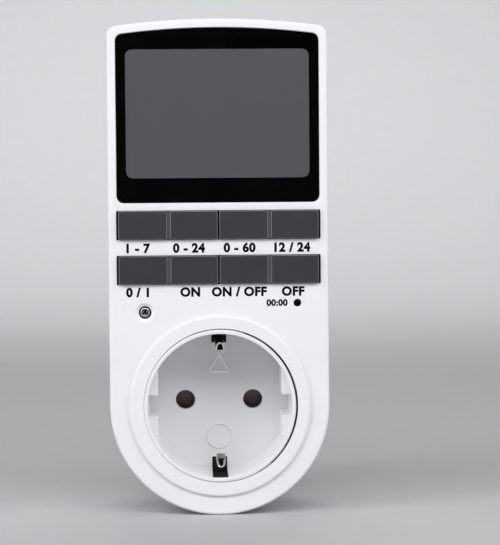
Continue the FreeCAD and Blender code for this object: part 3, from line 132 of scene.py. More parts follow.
# The finishes of the frame's material slots.
finish("shell_white", (0.83, 0.825, 0.85), 0.36, drift=0.008, grain=0.3, depth=0.002)
finish("insert_white", (0.8, 0.8, 0.82), 0.38, drift=0.006, cloud=0.02, grain=0.35, depth=0.0015)
finish("lens_clear", (0.004, 0.004, 0.0045), 0.06, drift=0.1, cloud=0.02, grain=2, depth=0.0005, Alpha=0.12)
finish("mask_black", (0.0015, 0.0015, 0.0018), 0.12, drift=0.1, cloud=0.03, grain=2, depth=0.0005,
       Specular_IOR_Level=0.18)
finish("display_glass", (0.1, 0.102, 0.114), 0.22, grain=1, depth=0.0005)
finish("reflector_grey", (0.35, 0.36, 0.36), 0.6)
finish("frame_plastic", (0.6, 0.6, 0.58), 0.5)
finish("connector_rubber", (0.12, 0.12, 0.13), 0.75)
finish("key_grey", (0.036, 0.0355, 0.041), 0.52, drift=0.05, cloud=0.05, grain=0.12, Specular_IOR_Level=0.25)
finish("silicone_grey", (0.3, 0.3, 0.32), 0.65)
finish("board_green", (0.03, 0.16, 0.07), 0.35, drift=0.15)
finish("part_black", (0.02, 0.02, 0.022), 0.55, drift=0.15)
finish("part_blue", (0.03, 0.1, 0.35), 0.35, drift=0.1)
finish("part_yellow", (0.7, 0.5, 0.06), 0.4, drift=0.08)
finish("battery_sleeve", (0.1, 0.32, 0.14), 0.3, drift=0.08)
finish("shutter_brown", (0.1, 0.058, 0.062), 0.4, drift=0.12, cloud=0.06)
finish("carrier_white", (0.7, 0.69, 0.66), 0.5)
finish("steel", (0.55, 0.55, 0.56), 0.28, drift=0.08, cloud=0.08, grain=0.08, depth=0.004, stretch=(1, 1, 6),
       Metallic=1.0)
finish("nickel", (0.72, 0.71, 0.68), 0.2, drift=0.05, cloud=0.06, grain=0.1, depth=0.003, stretch=(1, 6, 1),
       Metallic=1.0)
finish("brass", (0.75, 0.58, 0.28), 0.28, drift=0.08, cloud=0.08, grain=0.1, depth=0.003, stretch=(1, 6, 1),
       Metallic=1.0)

# Finishes of single faces and of pieces that no node stands for.
# Painted highlight: lighter copies of the keys' grey for their bevels and their groove floor, standing for the
# light that falls on them.
finish("key_edge_highlight", (0.17, 0.168, 0.175), 0.34, drift=0.05, cloud=0.05, grain=0.12, depth=0.003)
finish("key_groove_lit", (0.082, 0.081, 0.086), 0.5, drift=0.05, cloud=0.05, grain=0.12, depth=0.004,
       Specular_IOR_Level=0.25)
finish("screw_steel", (0.6, 0.6, 0.61), 0.16, drift=0.12, cloud=0.08, grain=0.06, depth=0.004, Metallic=1.0)
finish("screen_grey", (0.13, 0.133, 0.148), 0.5, drift=0.01, cloud=0.02, grain=1, depth=0.0003,
       Specular_IOR_Level=0.2)
# Painted shade, black, for deep gaps, the screws' recesses and the earth slots.
finish("painted_shade_black", (0.006, 0.006, 0.006), 0.7, drift=0.2, cloud=0.05, grain=0.2, depth=0.004)
# Painted highlight: a lighter white for the floor's moulded triangle, for the light its raised strokes catch.
finish("mark_painted_highlight", (0.96, 0.96, 0.97), 0.25, drift=0.006, cloud=0.02, grain=0.35, depth=0.001)
# Painted shade, grey, beside the black in the gap round the socket.
finish("painted_shade_grey", (0.1, 0.1, 0.1), 0.7, drift=0.1, cloud=0.05, grain=0.2, depth=0.004)
finish("print_black", (0.002, 0.002, 0.0025), 0.5, drift=0.2, cloud=0.05, grain=0.15, depth=0.003,
       Specular_IOR_Level=0.08)
finish("backdrop_pale", (0.5, 0.5, 0.515), 0.7, drift=0.01, cloud=0.03, grain=3, depth=0.01)

node_slot = {part["node"]: part["material_slot"] for part in frame["record"]["subparts"]}
for node, thing in frame["nodes"].items():
    thing.data.materials.clear()
    thing.data.materials.append(finishes[node_slot[node]])


def mesh_piece(name, bm, material, body=None, smooth=35.0):
    """An object made of bm, smooth but for edges sharper than smooth degrees; it rides on the body."""
    mesh = bpy.data.meshes.new(name)
    bmesh.ops.recalc_face_normals(bm, faces=bm.faces)
    bm.to_mesh(mesh)
    bm.free()
    mesh.materials.append(material)
    mesh.shade_smooth()
    mesh.set_sharp_from_angle(angle=math.radians(smooth))
    thing = bpy.data.objects.new(name, mesh)
    bpy.context.scene.collection.objects.link(thing)
    if body:
        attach(thing, body)
    return thing


def paint(thing, names, pick):
    """Adds finishes to a piece; pick(x, y, z, level) gives a face's material index.

    The place is the face's centre in millimetres, and level is 1 where the face is square to y, 0 along it.
    """
    for name in names:
        thing.data.materials.append(finishes[name])
    for face in thing.data.polygons:
        face.material_index = pick(*(face.center / MM), abs(face.normal.y))


# Outlines: lists of points (x, z), anticlockwise. All measures are in millimetres.

ROUND = 128                                       # points round the socket's large circles
FOOT_STEPS, CORNER_STEPS, TOP_STEPS = 72, 8, 24   # of the casing's and the window's outline


def circle(x, z, radius, count=64):
    turns = [2 * math.pi * (i + 0.5) / count for i in range(count)]
    return [(x + radius * math.cos(t), z + radius * math.sin(t)) for t in turns]


def arc(x, z, radius, start, turn, steps):
    """Points at equal steps of an arc, both of its ends among them; start and turn are in radians."""
    turns = [start + turn * i / steps for i in range(steps + 1)]
    return [(x + radius * math.cos(t), z + radius * math.sin(t)) for t in turns]


def rounded(corners, radii, count=6):
    """A path with each corner rounded; radii is one number, or one for each corner."""
    if not isinstance(radii, list):
        radii = [radii] * len(corners)
    points = []
    for i, corner in enumerate(corners):
        here, before, after = Vector(corner), Vector(corners[i - 1]), Vector(corners[(i + 1) % len(corners)])
        into, out = (here - before).normalized(), (after - here).normalized()
        cross = into.x * out.y - into.y * out.x
        if radii[i] < 1e-6 or abs(cross) < 1e-6:
            points.append(tuple(here))
            continue
        turn = math.atan2(cross, into.dot(out))
        reach = radii[i] * math.tan(abs(turn) / 2)
        start = here - into * reach
        centre = start + Vector((-into.y, into.x)) * math.copysign(radii[i], turn)
        arm = start - centre
        for step in range(count + 1):
            cos, sin = math.cos(turn * step / count), math.sin(turn * step / count)
            points.append((centre.x + arm.x * cos - arm.y * sin, centre.y + arm.x * sin + arm.y * cos))
    return points


def box(x0, x1, z0, z1, radius=0.0):
    (x0, x1), (z0, z1) = sorted((x0, x1)), sorted((z0, z1))
    return rounded([(x0, z0), (x1, z0), (x1, z1), (x0, z1)], radius)


def square(x, z, half, radius=0.0):
    return box(x - half, x + half, z - half, z + half, radius)


def eight(x, z, half):
    """An eight-sided outline with flats at half."""
    reach = half / math.cos(math.pi / 8)
    return arc(x, z, reach, math.pi / 8, 2 * math.pi, 8)[:-1]


def arched(half, top, corner, low=None):
    """A panel whose top is an arc about (0, ARCH_CENTRE); its foot is level at low, or a half circle."""
    radius = top - ARCH_CENTRE
    corner_z = ARCH_CENTRE + math.sqrt((radius - corner) ** 2 - (half - corner) ** 2)
    lean = math.atan2(half - corner, corner_z - ARCH_CENTRE)
    if low is None:
        points = arc(0, 0, half, math.pi, math.pi, FOOT_STEPS)
    else:
        points = arc(corner - half, low + corner, corner, 2 * QUARTER_TURN, QUARTER_TURN, CORNER_STEPS)
        points += arc(half - corner, low + corner, corner, 3 * QUARTER_TURN, QUARTER_TURN, CORNER_STEPS)
    points += arc(half - corner, corner_z, corner, 0, QUARTER_TURN - lean, CORNER_STEPS)
    points += arc(0, ARCH_CENTRE, radius, QUARTER_TURN - lean, 2 * lean, TOP_STEPS)[1:-1]
    points += arc(corner - half, corner_z, corner, QUARTER_TURN + lean, QUARTER_TURN - lean, CORNER_STEPS)
    return points


def inset(outline, distance):
    """The outline moved inwards, or outwards where distance is below zero."""
    moved = []
    for i, (x, z) in enumerate(outline):
        before, after = outline[i - 1], outline[(i + 1) % len(outline)]
        into = Vector((x - before[0], z - before[1])).normalized()
        out = Vector((after[0] - x, after[1] - z)).normalized()
        normal = Vector((-into.y - out.y, into.x + out.x)) / (1 + into.dot(out))
        moved.append((x + normal.x * distance, z + normal.y * distance))
    return moved


def thick(path, thickness):
    """The outline of a strip that follows path, with its thickness split on both sides."""
    left, right = [], []
    for i, (a, b) in enumerate(path):
        before, after = path[max(0, i - 1)], path[min(len(path) - 1, i + 1)]
        along = Vector((after[0] - before[0], after[1] - before[1])).normalized()
        left.append((a - along.y * thickness / 2, b + along.x * thickness / 2))
        right.append((a + along.y * thickness / 2, b - along.x * thickness / 2))
    return right + left[::-1]


def star(x, z, arms, reach, half, core, turn):
    """A driver's recess with that many wings; core is the distance of the corners between them."""
    points = []
    for arm in range(arms):
        t = turn + 2 * math.pi * arm / arms
        ux, uz = math.cos(t), math.sin(t)
        points.append((x + ux * reach + uz * half, z + uz * reach - ux * half))
        points.append((x + ux * reach - uz * half, z + uz * reach + ux * half))
        t += math.pi / arms
        points.append((x + math.cos(t) * core, z + math.sin(t) * core))
    return points


# Steps: lists of (inset, depth) that an outline is swept through.

def quarter(flat, flat_depth, wall, wall_depth, count):
    """A rounding that starts level at (flat, flat_depth) and ends upright at (wall, wall_depth)."""
    steps = []
    for i in range(count + 1):
        t = QUARTER_TURN * i / count
        across, down = math.sin(t), 1 - math.cos(t)
        steps.append((flat + (wall - flat) * across, flat_depth + (wall_depth - flat_depth) * down))
    return steps


def soft_start(edge, start, count):
    """The rounded edge that a wall starts with; edge is below zero for the wall of a hole."""
    return quarter(edge, start, 0, start + abs(edge), count)


def soft_end(edge, end, count):
    """The rounded edge that a wall ends with; edge is below zero for the wall of a hole."""
    return quarter(edge, end, 0, end - abs(edge), count)[::-1]


class Form:
    """Closed skins built from rings of points along one axis."""
    ORDER = {"x": lambda a, b, d: (d, a, b), "y": lambda a, b, d: (a, d, b), "z": lambda a, b, d: (a, b, d)}

    def __init__(self, axis="y"):
        self.bm = bmesh.new()
        self.place = self.ORDER[axis]

    def ring(self, outline, depth):
        return [self.bm.verts.new([v * MM for v in self.place(a, b, depth)]) for a, b in outline]

    def join(self, first, second):
        for i in range(len(first)):
            self.bm.faces.new((first[i - 1], first[i], second[i], second[i - 1]))

    def join_all(self, rings):
        """Joins each ring to the next; returns the first and the last."""
        for first, second in zip(rings, rings[1:]):
            self.join(first, second)
        return rings[0], rings[-1]

    def sweep(self, outline, steps):
        """Rings at (inset, depth), joined; returns the first and the last."""
        return self.join_all([self.ring(inset(outline, d) if abs(d) > 1e-9 else outline, depth)
                              for d, depth in steps])

    def turn(self, x, z, profile, count=40):
        """Rings of (radius, depth) about one axis, joined; returns the first and the last."""
        return self.join_all([self.ring(circle(x, z, radius, count), depth) for radius, depth in profile])

    def cap(self, *rings):
        """A flat face between an outer ring and the holes in it."""
        edges = []
        for ring in rings:
            for i in range(len(ring)):
                pair = (ring[i - 1], ring[i])
                edges.append(self.bm.edges.get(pair) or self.bm.edges.new(pair))
        bmesh.ops.triangle_fill(self.bm, use_beauty=True, use_dissolve=False, edges=edges)

    def solid(self, outline, steps):
        """A closed body of one outline."""
        first, last = self.sweep(outline, steps)
        self.cap(first)
        self.cap(last)

    def block(self, outline, start, end, edge=0.0):
        """A body between two depths, with the edges of both ends rounded by edge."""
        if edge:
            self.solid(outline, soft_start(edge, start, 3) + soft_end(edge, end, 3))
        else:
            self.solid(outline, [(0, start), (0, end)])

    def tube(self, outside, inside, start, end, floor=None):
        """A tube, or with floor a blind one whose hole runs from floor to end."""
        outer = self.sweep(outside, [(0, start), (0, end)])
        inner = self.sweep(inside, [(0, start if floor is None else floor), (0, end)])
        self.cap(outer[1], inner[1])
        if floor is None:
            self.cap(outer[0], inner[0])
        else:
            self.cap(outer[0])
            self.cap(inner[0])

    def rod(self, path, radius, count=10):
        """A closed round bar along points in space."""
        rings = []
        for i, point in enumerate(path):
            here = Vector(point)
            along = Vector(path[min(i + 1, len(path) - 1)]) - Vector(path[max(i - 1, 0)])
            along.normalize()
            across = along.cross(Vector((1, 0, 0)) if abs(along.x) < 0.8 else Vector((0, 1, 0))).normalized()
            third = along.cross(across)
            turns = [2 * math.pi * k / count for k in range(count)]
            rings.append([self.bm.verts.new((here + (across * math.cos(t) + third * math.sin(t)) * radius) * MM)
                          for t in turns])
        self.join_all(rings)
        self.bm.faces.new(rings[0])
        self.bm.faces.new(rings[-1][::-1])

    def piece(self, name, slot, body="casing", smooth=30.0, material=None):
        """Ends the form: an object with weighted normals that rides on a body."""
        thing = mesh_piece(name, self.bm, material or finishes[slot], body, smooth)
        thing.modifiers.new("even shading", "WEIGHTED_NORMAL").keep_sharp = True
        return thing


# The casing's measures. The socket's axis is x = 0, z = 0, and y runs from the face to the pins' tips.

FACE, SPLIT, REAR, BOSS_END = -55.0, -40.0, -17.0, 0.0   # face, parting line, back, end of the plug's boss
FACE_BACK, REAR_FLOOR = -52.8, -19.2                     # inner sides of the front and rear walls
RING_TOP, LEDGE = FACE - 0.8, -53.5                      # raised ring; step under the lens and the screw
LAP_FLOOR, WALL, LAP = SPLIT - 1.6, 2.2, 1.1             # the lap joint, and the wall it is cut in
SEAM = 0.16                                              # chamfer of both halves at the parting line
ARCH_CENTRE = -104.6
REAR_SCREWS = ((-17.6, -17.6), (17.6, -17.6), (-25.5, 56.5), (25.5, 56.5))
WELL_FLOOR, WELL_RADIUS = -34.0, 2.3                     # where the rear screws' heads sit
BOARD_SCREWS = ((8.0, 57.0), (-6.0, 30.2))
FRONT_SCREW = (-20.2, 25.7)
RESET = (21.4, 27.9)
KEY_ROWS, KEY_X = (49.45, 37.25), 13.85                  # heights of the rows; middles of their keys
APERTURE_X, APERTURE_UP = 27.75, 3.95                    # half the width and the height of a row's opening
PIN_X = 9.5
PLAIN, SHADE_BLACK, SHADE_GREY = 0, 1, 2                             # material indices: plain, and painted shade in black and in grey for the gaps


def casing_outline():
    return arched(30.0, 105.4, 2.7)


def window_outline(gap=0.0):
    return arched(27.67 - gap, 103.07 - gap, 2.0 - gap, 55.5 + gap)


def gap_painted_shade(x, z):
    """Painted shade in the gap round the socket insert: black at the right, then grey, plain at the left."""
    if x > 7 and z > -16:
        return SHADE_BLACK
    return SHADE_GREY if x > 1 and z > -21 else PLAIN


def cover_painted_shade(x, y, z, level):
    """Painted shade in the cover's deep gaps: round the insert and the screw, on the ledge under the screw, and
    at the key rows' ends.
    """
    gap_radius, gap_half = 21.15, 0.45
    from_screw = math.hypot(x - FRONT_SCREW[0], z - FRONT_SCREW[1])
    upright = level < 0.1 and y < FACE_BACK - 0.1
    if upright and y > FACE - 0.6 and abs(math.hypot(x, z) - gap_radius) < gap_half:
        return gap_painted_shade(x - 4, z - 3)
    in_row = min(abs(z - row) for row in KEY_ROWS) < APERTURE_UP - 0.05
    row_end = in_row and 27.6 < abs(x) < 27.8 and y > FACE + 0.15
    round_screw = from_screw < 2.2 and y > FACE + 0.6
    ledge = from_screw < 1.8 and abs(y - LEDGE) < 0.01
    return SHADE_BLACK if ledge or upright and (row_end or round_screw) else PLAIN


def make_front_cover():
    """Face, raised ring, window rebate, key apertures, dimple, and the bosses and ears behind them."""
    form = Form()
    lip = SPLIT - 0.04
    outer = form.sweep(casing_outline(), soft_start(0.75, FACE, 7) + [
        (0, SPLIT - 0.3), (SEAM, lip), (LAP, lip), (LAP, LAP_FLOOR), (WALL, LAP_FLOOR), (WALL, FACE_BACK)])
    edge = form.sweep(circle(0, 0, 24.8, ROUND),
                      [(0, FACE)] + quarter(0.75, RING_TOP, 0.01, RING_TOP + 0.38, 9)[::-1])
    mouth = form.sweep(circle(0.25, 0.07, 21.07, ROUND), soft_start(-0.15, RING_TOP, 3) + [(0, FACE_BACK)])
    form.cap(edge[1], mouth[0])
    window = form.sweep(window_outline(),
                        soft_start(-0.22, FACE, 4) + [(0, LEDGE), (1.5, LEDGE), (1.5, FACE_BACK)])
    rows = [form.sweep(box(-APERTURE_X, APERTURE_X, row - APERTURE_UP, row + APERTURE_UP, 0.3),
                       soft_start(-0.15, FACE, 3) + [(0, FACE_BACK)]) for row in KEY_ROWS]
    reset = form.sweep(circle(RESET[0], RESET[1] + 0.1, 1.08, 40),
                       soft_start(-0.12, FACE, 3) + [(0, FACE_BACK)])
    sleeve_end = -42.0
    dimple = form.sweep(circle(*FRONT_SCREW, 2.0, 48), [
        (-0.75, FACE), (-0.62, FACE + 0.03), (-0.4, FACE + 0.13), (-0.15, FACE + 0.31), (0.02, FACE + 0.45),
        (0.18, FACE + 0.52), (0.26, FACE + 0.6), (0.26, LEDGE), (0.9, LEDGE), (0.9, sleeve_end),
        (-0.9, sleeve_end), (-0.9, FACE_BACK)])
    openings = [window, *rows, reset, dimple]
    form.cap(outer[0], edge[0], *[first for first, last in openings])
    form.cap(outer[1], mouth[1], *[last for first, last in openings])
    root = FACE_BACK - 0.2
    for x, z in REAR_SCREWS:
        form.tube(eight(x, z, 2.6), eight(x, z, 1.2), root, LAP_FLOOR, floor=-50.0)
    for x, z in BOARD_SCREWS:
        form.tube(eight(x, z, 2.0), eight(x, z, 0.85), root, -46.4, floor=-51.0)
    cheek_near, cheek_far, ear_far = 0.85, 1.8, 5.55     # the pairs of ears that hold the keys' trunnions
    for row in KEY_ROWS:
        for x in (-KEY_X, KEY_X):
            for side in (-1, 1):
                for cheek in (-1, 1):
                    ear = box(x + cheek_near * cheek, x + cheek_far * cheek,
                              row + APERTURE_UP * side, row + ear_far * side)
                    form.block(ear, root, FACE_BACK + 2.5)
    form.block(box(-0.6, 0.6, 53.6, 55.4), root, FACE_BACK + 2.0)     # a rib below the window
    cover = form.piece("front_cover_shell", "shell_white")
    # The deep gaps take painted shade, black and grey.
    paint(cover, ("painted_shade_black", "painted_shade_grey"), cover_painted_shade)
    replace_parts(cover, "front_cover")


BOSS_RADIUS, BOSS_FLAT, BOSS_RIB = 18.4, 16.6, 2.6           # radius, flats, and half the guide ribs' width
GROOVE_HALF, GROOVE_FLOOR, GROOVE_END = 2.1, 16.75, -1.5     # of the earth strips' grooves


def boss_ring(form, distance, depth):
    """One ring of the plug's boss: round, with flats, guide ribs and, up to GROOVE_END, two grooves."""
    turn = math.acos(BOSS_FLAT / BOSS_RADIUS)
    tip = math.asin(BOSS_RIB / BOSS_RADIUS)
    lip = math.asin(GROOVE_HALF / BOSS_RADIUS)
    reach = QUARTER_TURN - lip - turn
    half = arc(0, 0, BOSS_RADIUS, -tip, 2 * tip, 4) + [(BOSS_FLAT, BOSS_RIB)]
    half += arc(0, 0, BOSS_RADIUS, turn, reach, 16)
    groove = len(half)
    half += arc(0, 0, BOSS_RADIUS, QUARTER_TURN - lip / 3, 2 * lip / 3, 1)
    half += arc(0, 0, BOSS_RADIUS, QUARTER_TURN + lip, reach, 16) + [(-BOSS_FLAT, BOSS_RIB)]
    points = inset(half + [(-x, -z) for x, z in half], distance)
    if depth < GROOVE_END:
        for start, side in ((groove, 1), (groove + len(half), -1)):
            points[start] = (side * GROOVE_HALF, side * GROOVE_FLOOR)
            points[start + 1] = (-side * GROOVE_HALF, side * GROOVE_FLOOR)
    return form.ring(points, depth)


def make_rear_housing():
    """Rear shell with its rounded edge, screw wells, a sunk bare panel and the plug's boss."""
    form = Form()
    tongue, tongue_end = 1.2, SPLIT - 1.5
    outer = form.sweep(casing_outline(), [
        (WALL, REAR_FLOOR), (WALL, SPLIT), (WALL, tongue_end), (tongue, tongue_end), (tongue, SPLIT),
        (SEAM, SPLIT), (0, SPLIT + 0.26)] + soft_end(1.6, REAR, 8))
    well_steps = [(1.0, WELL_FLOOR), (0, WELL_FLOOR)] + soft_end(-0.2, REAR, 3)
    wells = [form.sweep(circle(x, z, WELL_RADIUS, 40), well_steps) for x, z in REAR_SCREWS]
    for floor, mouth in wells:
        form.cap(floor)
    boss_steps = soft_start(-0.5, REAR, 4) + [(0, GROOVE_END - 0.02), (0, GROOVE_END)]
    boss_root, boss_end = form.join_all([boss_ring(form, *step)
                                         for step in boss_steps + soft_end(0.9, BOSS_END, 6)])
    panel = form.sweep(box(-19.0, 19.0, 27.0, 88.0, 2.0), [(0, REAR), (0.25, REAR - 0.25)])
    form.cap(outer[1], boss_root, panel[0], *[mouth for floor, mouth in wells])
    form.cap(panel[1])
    pin_steps = [(-0.12, BOSS_END), (0, -0.12), (0, -0.5), (0.33, -0.5), (0.33, -1.0)]
    pin_roots = [form.sweep(circle(x, 0, 2.75, 32), pin_steps) for x in (-PIN_X, PIN_X)]
    form.cap(boss_end, *[mouth for mouth, floor in pin_roots])
    for mouth, floor in pin_roots:
        form.cap(floor)
    hollow = form.sweep(eight(0, 0, 14.6), [(0, REAR_FLOOR), (0, BOSS_END - 2.5)])
    form.cap(outer[0], hollow[0])
    form.cap(hollow[1])
    root = REAR_FLOOR + 0.1
    well_top = WELL_FLOOR + 0.1
    for x, z in REAR_SCREWS:
        form.tube(eight(x, z, 3.3), eight(x, z, 1.35), LAP_FLOOR, well_top)
        form.tube(circle(x, z, 3.3, 32), circle(x, z, WELL_RADIUS + 0.02, 32), well_top, root)
    form.tube(eight(*FRONT_SCREW, 2.9), eight(*FRONT_SCREW, 0.95), -41.95, root, floor=-36.3)
    for x, z in ((-10, -15.4), (10, -15.4), (-10, 15.4), (10, 15.4)):
        form.block(square(x, z, 1.7), -30.0, root)     # the contact carrier's posts
    for x, z in ((-21.5, 95.6), (21.5, 34.6), (21.5, 95.6), (-21.5, 34.6)):
        form.block(eight(x, z, 2.2), -20.8, root)      # the power board's standoffs
    housing = form.piece("rear_housing_shell", "shell_white")
    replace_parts(housing, "rear_housing")


def make_lens():
    form = Form()
    front, back = FACE + 0.1, -53.7
    form.solid(window_outline(0.05), soft_start(0.2, front, 4) + [(0, back)])
    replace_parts(form.piece("lens", "lens_clear"), "window_lens")


def make_screen_film():
    """The display's grey film, just behind the lens."""
    form = Form()
    form.solid(box(-24.98, 24.98, 62.27, 97.23, 1.9), [(0, -53.69), (0, -53.55)])
    form.piece("screen_film", "display_glass", material=finishes["screen_grey"])


# Keys

def make_key(name, node, body, x, row):
    """A double key: two raised halves with soft edges, a groove between them, plungers and trunnions."""
    form = Form()
    front, groove, inner, back = -56.0, -55.65, -54.7, -50.9     # depths of the top, groove, inside and skirt
    up, corner = 3.85, 0.4
    outer_half, half = 13.35, 13.6
    left = x < 0
    low, high = (x - outer_half, x + half) if left else (x - half, x + outer_half)
    middle = x + 0.3 if left else x
    form.solid(box(low, high, row - up, row + up, corner), [
        (0, groove + 0.02), (0, back - 0.15), (0.15, back), (1.1, back), (1.1, inner + 0.15)])
    for side, near, far in ((-1, low, middle - 0.45), (1, middle + 0.45, high)):
        pad = box(near, far, row - up, row + up, corner)
        form.solid(pad, soft_start(0.26, front, 4) + [(0, groove + 0.05)])
        form.block(square(x + side * 6.8, row, 1.2, 0.2), inner, -49.0, 0.1)
    form.block(box(x - 0.55, x + 0.55, row - 2.8, row + 2.8), inner, back)
    shell = form.piece(name, "key_grey", body)
    # Material indices: the key's grey on the tops, and lighter finishes on the bevels and the groove floor as
    # painted highlight.
    top, edge, sunk = 0, 1, 2

    def shade(_x, y, _z, level):
        if level > 0.98:
            return sunk if groove < y < groove + 0.1 else top
        return edge if y < front + 1.0 else top

    paint(shell, ("key_edge_highlight", "key_groove_lit"), shade)
    bars = Form("z")
    for side in (-1, 1):
        bars.block(circle(x, -51.8, 0.75, 20), *sorted((row + 3.8 * side, row + 5.2 * side)), 0.12)
    bars.piece(name + "_trunnions", "key_grey", body)
    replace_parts(shell, node)


# Socket

RECESS, RECESS_BACK = -38.3, -35.8                             # the two sides of the recess floor
SLOT_HALF = 2.1                                                # half the width of the earth slots
CUP_RADIUS, MOUTH_RADIUS, FOOT_RADIUS = 20.8, 19.72, 19.45     # the cup's outside, and its inside at both ends
GUIDE_RADIUS, GUIDE_X, NOTCH_HALF = 20.1, 17.0, 2.85           # the guides, and the notches between them


def half_wall(inside, side):
    """The cup's wall at one side, from one earth slot to the other."""
    points = []
    for radius, way in ((CUP_RADIUS, 1), (inside, -1)):
        limit = way * math.acos(SLOT_HALF / radius)
        points += arc(0, 0, radius, -limit, 2 * limit, 60)
    return [(side * x, z) for x, z in points]


def make_insert():
    """The cup: rim, two half walls between the earth slots, guides beside the notches, and lugs."""
    form = Form()
    flange = -55.35
    outer = form.sweep(circle(0, 0, CUP_RADIUS, ROUND), soft_start(0.3, RING_TOP, 4) + [(0, flange)])
    step = form.sweep(circle(0.15, 0, CUP_RADIUS + 0.15, ROUND), [(0, flange), (0, FACE)])
    inner = form.sweep(circle(0, 0, MOUTH_RADIUS, ROUND), soft_start(-0.2, RING_TOP, 4) + [(0, FACE)])
    form.cap(outer[0], inner[0])
    form.join(outer[1], step[0])
    form.cap(step[1], inner[1])
    low, high = math.asin(NOTCH_HALF / GUIDE_RADIUS), math.acos(GUIDE_X / GUIDE_RADIUS)
    corner = [(GUIDE_X, NOTCH_HALF)] + arc(0, 0, GUIDE_RADIUS, low, high - low, 6)
    for side in (-1, 1):
        near = form.ring(half_wall(MOUTH_RADIUS, side), FACE)
        far = form.ring(half_wall(FOOT_RADIUS, side), RECESS)
        form.join(near, far)
        form.cap(near)
        form.cap(far)
        for end in (-1, 1):
            guide = [(side * a, end * b) for a, b in corner]
            if side * end < 0:
                guide.reverse()
            form.solid(guide, soft_start(0.3, FACE + 0.7, 4) + [(0, RECESS)])
    lug_back = FACE_BACK + 1.5
    for side in (-1, 1):
        form.block(box(20.3 * side, 22.2 * side, -1.8, 1.8), FACE_BACK, lug_back)
        for end in (-1, 1):
            form.block(box(3.9 * side, 7.5 * side, 19.4 * end, 20.89 * end), FACE_BACK, lug_back)
    cup = form.piece("insert_cup", "insert_white")
    # The flange's top in the gap takes painted shade, black and grey.
    paint(cup, ("painted_shade_black", "painted_shade_grey"),
          lambda x, y, z, level: gap_painted_shade(x - 6, z - 5) if abs(y - flange) < 0.01 else PLAIN)
    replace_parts(cup, "socket_insert")


def make_floor():
    """The recess floor: soft-edged entry holes, earth slots, a moulded ring and a moulded triangle."""
    form = Form()
    half = 20.5
    outline = []
    for x, z in eight(0, 0, half):
        outline.append((x, z))
        for side, slot_end in ((1, 16.1), (-1, 16.2)):
            if side * z > 20 and side * x > 0:
                slot = ((SLOT_HALF, half), (SLOT_HALF, slot_end), (-SLOT_HALF, slot_end), (-SLOT_HALF, half))
                outline += [(side * a, side * b) for a, b in slot]
    plate = form.sweep(outline, [(0, RECESS), (0, RECESS_BACK)])
    holes = [form.sweep(circle(x, 0, 2.7, 48), soft_start(-0.3, RECESS, 4) + [(0, RECESS_BACK)])
             for x in (-PIN_X, PIN_X)]
    form.cap(plate[0], *[first for first, last in holes])
    form.cap(plate[1], *[last for first, last in holes])
    rails = [(14.0 * side, 15.4 * side, -3.5, 9.8) for side in (-1, 1)]
    stops = [(-2.4, 2.4, 14.4, 15.8), (-2.4, 2.4, -5.0, -3.6)]
    for limits in rails + stops:
        form.block(box(*limits), RECESS_BACK - 0.1, -33.0)
    top = RECESS - 0.28
    ring = circle(0, -10.3, 3.6, 64)
    triangle = rounded([(-3.4, 7.6), (3.4, 7.6), (0, 13.4)], 0.7)
    for shape, width in ((ring, 0.34), (triangle, 0.6)):
        outside = form.sweep(shape, [(-0.1, RECESS + 0.05), (0, top + 0.04), (0.05, top)])
        within = form.sweep(inset(shape, width), [(0.1, RECESS + 0.05), (0, top + 0.04), (-0.05, top)])
        form.cap(outside[1], within[1])
        form.cap(outside[0], within[0])
    floor = form.piece("insert_floor", "insert_white")
    # The triangle's faces take the lighter finish as painted highlight.
    paint(floor, ("mark_painted_highlight",), lambda x, y, z, level: int(y < RECESS - 0.01 and z > 0))
    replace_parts(floor, "socket_floor")


def make_clip():
    """One bent strip: cross bar behind the carrier, two legs, and at each end a bow with an open loop."""
    form = Form("x")
    corners = [(-50.6, 15.2), (-49.1, 13.85), (-38.3, 17.3), (-29.7, 17.3)]
    radii = [0, 1.2, 3.0, 0.5]
    path = rounded(corners + [(y, -z) for y, z in reversed(corners)], radii + radii[::-1])
    form.solid(thick(path, 0.6), [(0.1, -1.2), (0.03, -1.14), (0, -1.06), (0, 1.06), (0.03, 1.14), (0.1, 1.2)])
    root_y, root_z, lean_y, lean_z, squareness = -50.3, 14.9, -2.75, 2.15, 0.8
    for side in (-1, 1):
        loop = []
        for i in range(25):
            t = math.pi * i / 24
            across = -math.copysign(abs(math.cos(t)) ** squareness, math.cos(t))
            reach = math.sin(t) ** squareness
            loop.append((across, root_y + lean_y * reach, side * (root_z + lean_z * reach)))
        form.rod(loop, 0.26)
    bow_start, bow_shift = -46, 0.2
    for corner in form.bm.verts:
        if corner.co.y < bow_start * MM:
            corner.co.x += bow_shift * MM
    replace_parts(form.piece("earth_clip_strip", "nickel", smooth=50.0), "earth_clip")


def make_slot_shade_sheets():
    """Black sheets behind each earth slot, open round the clip's leg: painted shade for the dark inside the
    slots.
    """
    film, outside, half = 0.12, 20.75, 2.08
    front, back = -54.9, RECESS_BACK
    sheet = (-37.6, -37.2)
    for name, side in (("slot_shade_sheet_lower", -1), ("slot_shade_sheet_upper", 1)):
        form = Form()
        for x in (-SLOT_HALF, SLOT_HALF - film):
            form.block(box(x, x + film, 19.4 * side, outside * side), front, RECESS)
            form.block(box(x, x + film, 16.1 * side, outside * side), RECESS + 0.1, back)
        form.block(box(-SLOT_HALF, SLOT_HALF, 20.6 * side, outside * side), front, back)
        for near, far in ((16.15, 16.8), (17.8, 20.7)):
            form.block(box(-half, half, near * side, far * side), *sheet)
        for x in (-half, half - 0.68):
            form.block(box(x, x + 0.68, 16.8 * side, 17.8 * side), *sheet)
        form.piece(name, "part_black", material=finishes["painted_shade_black"])


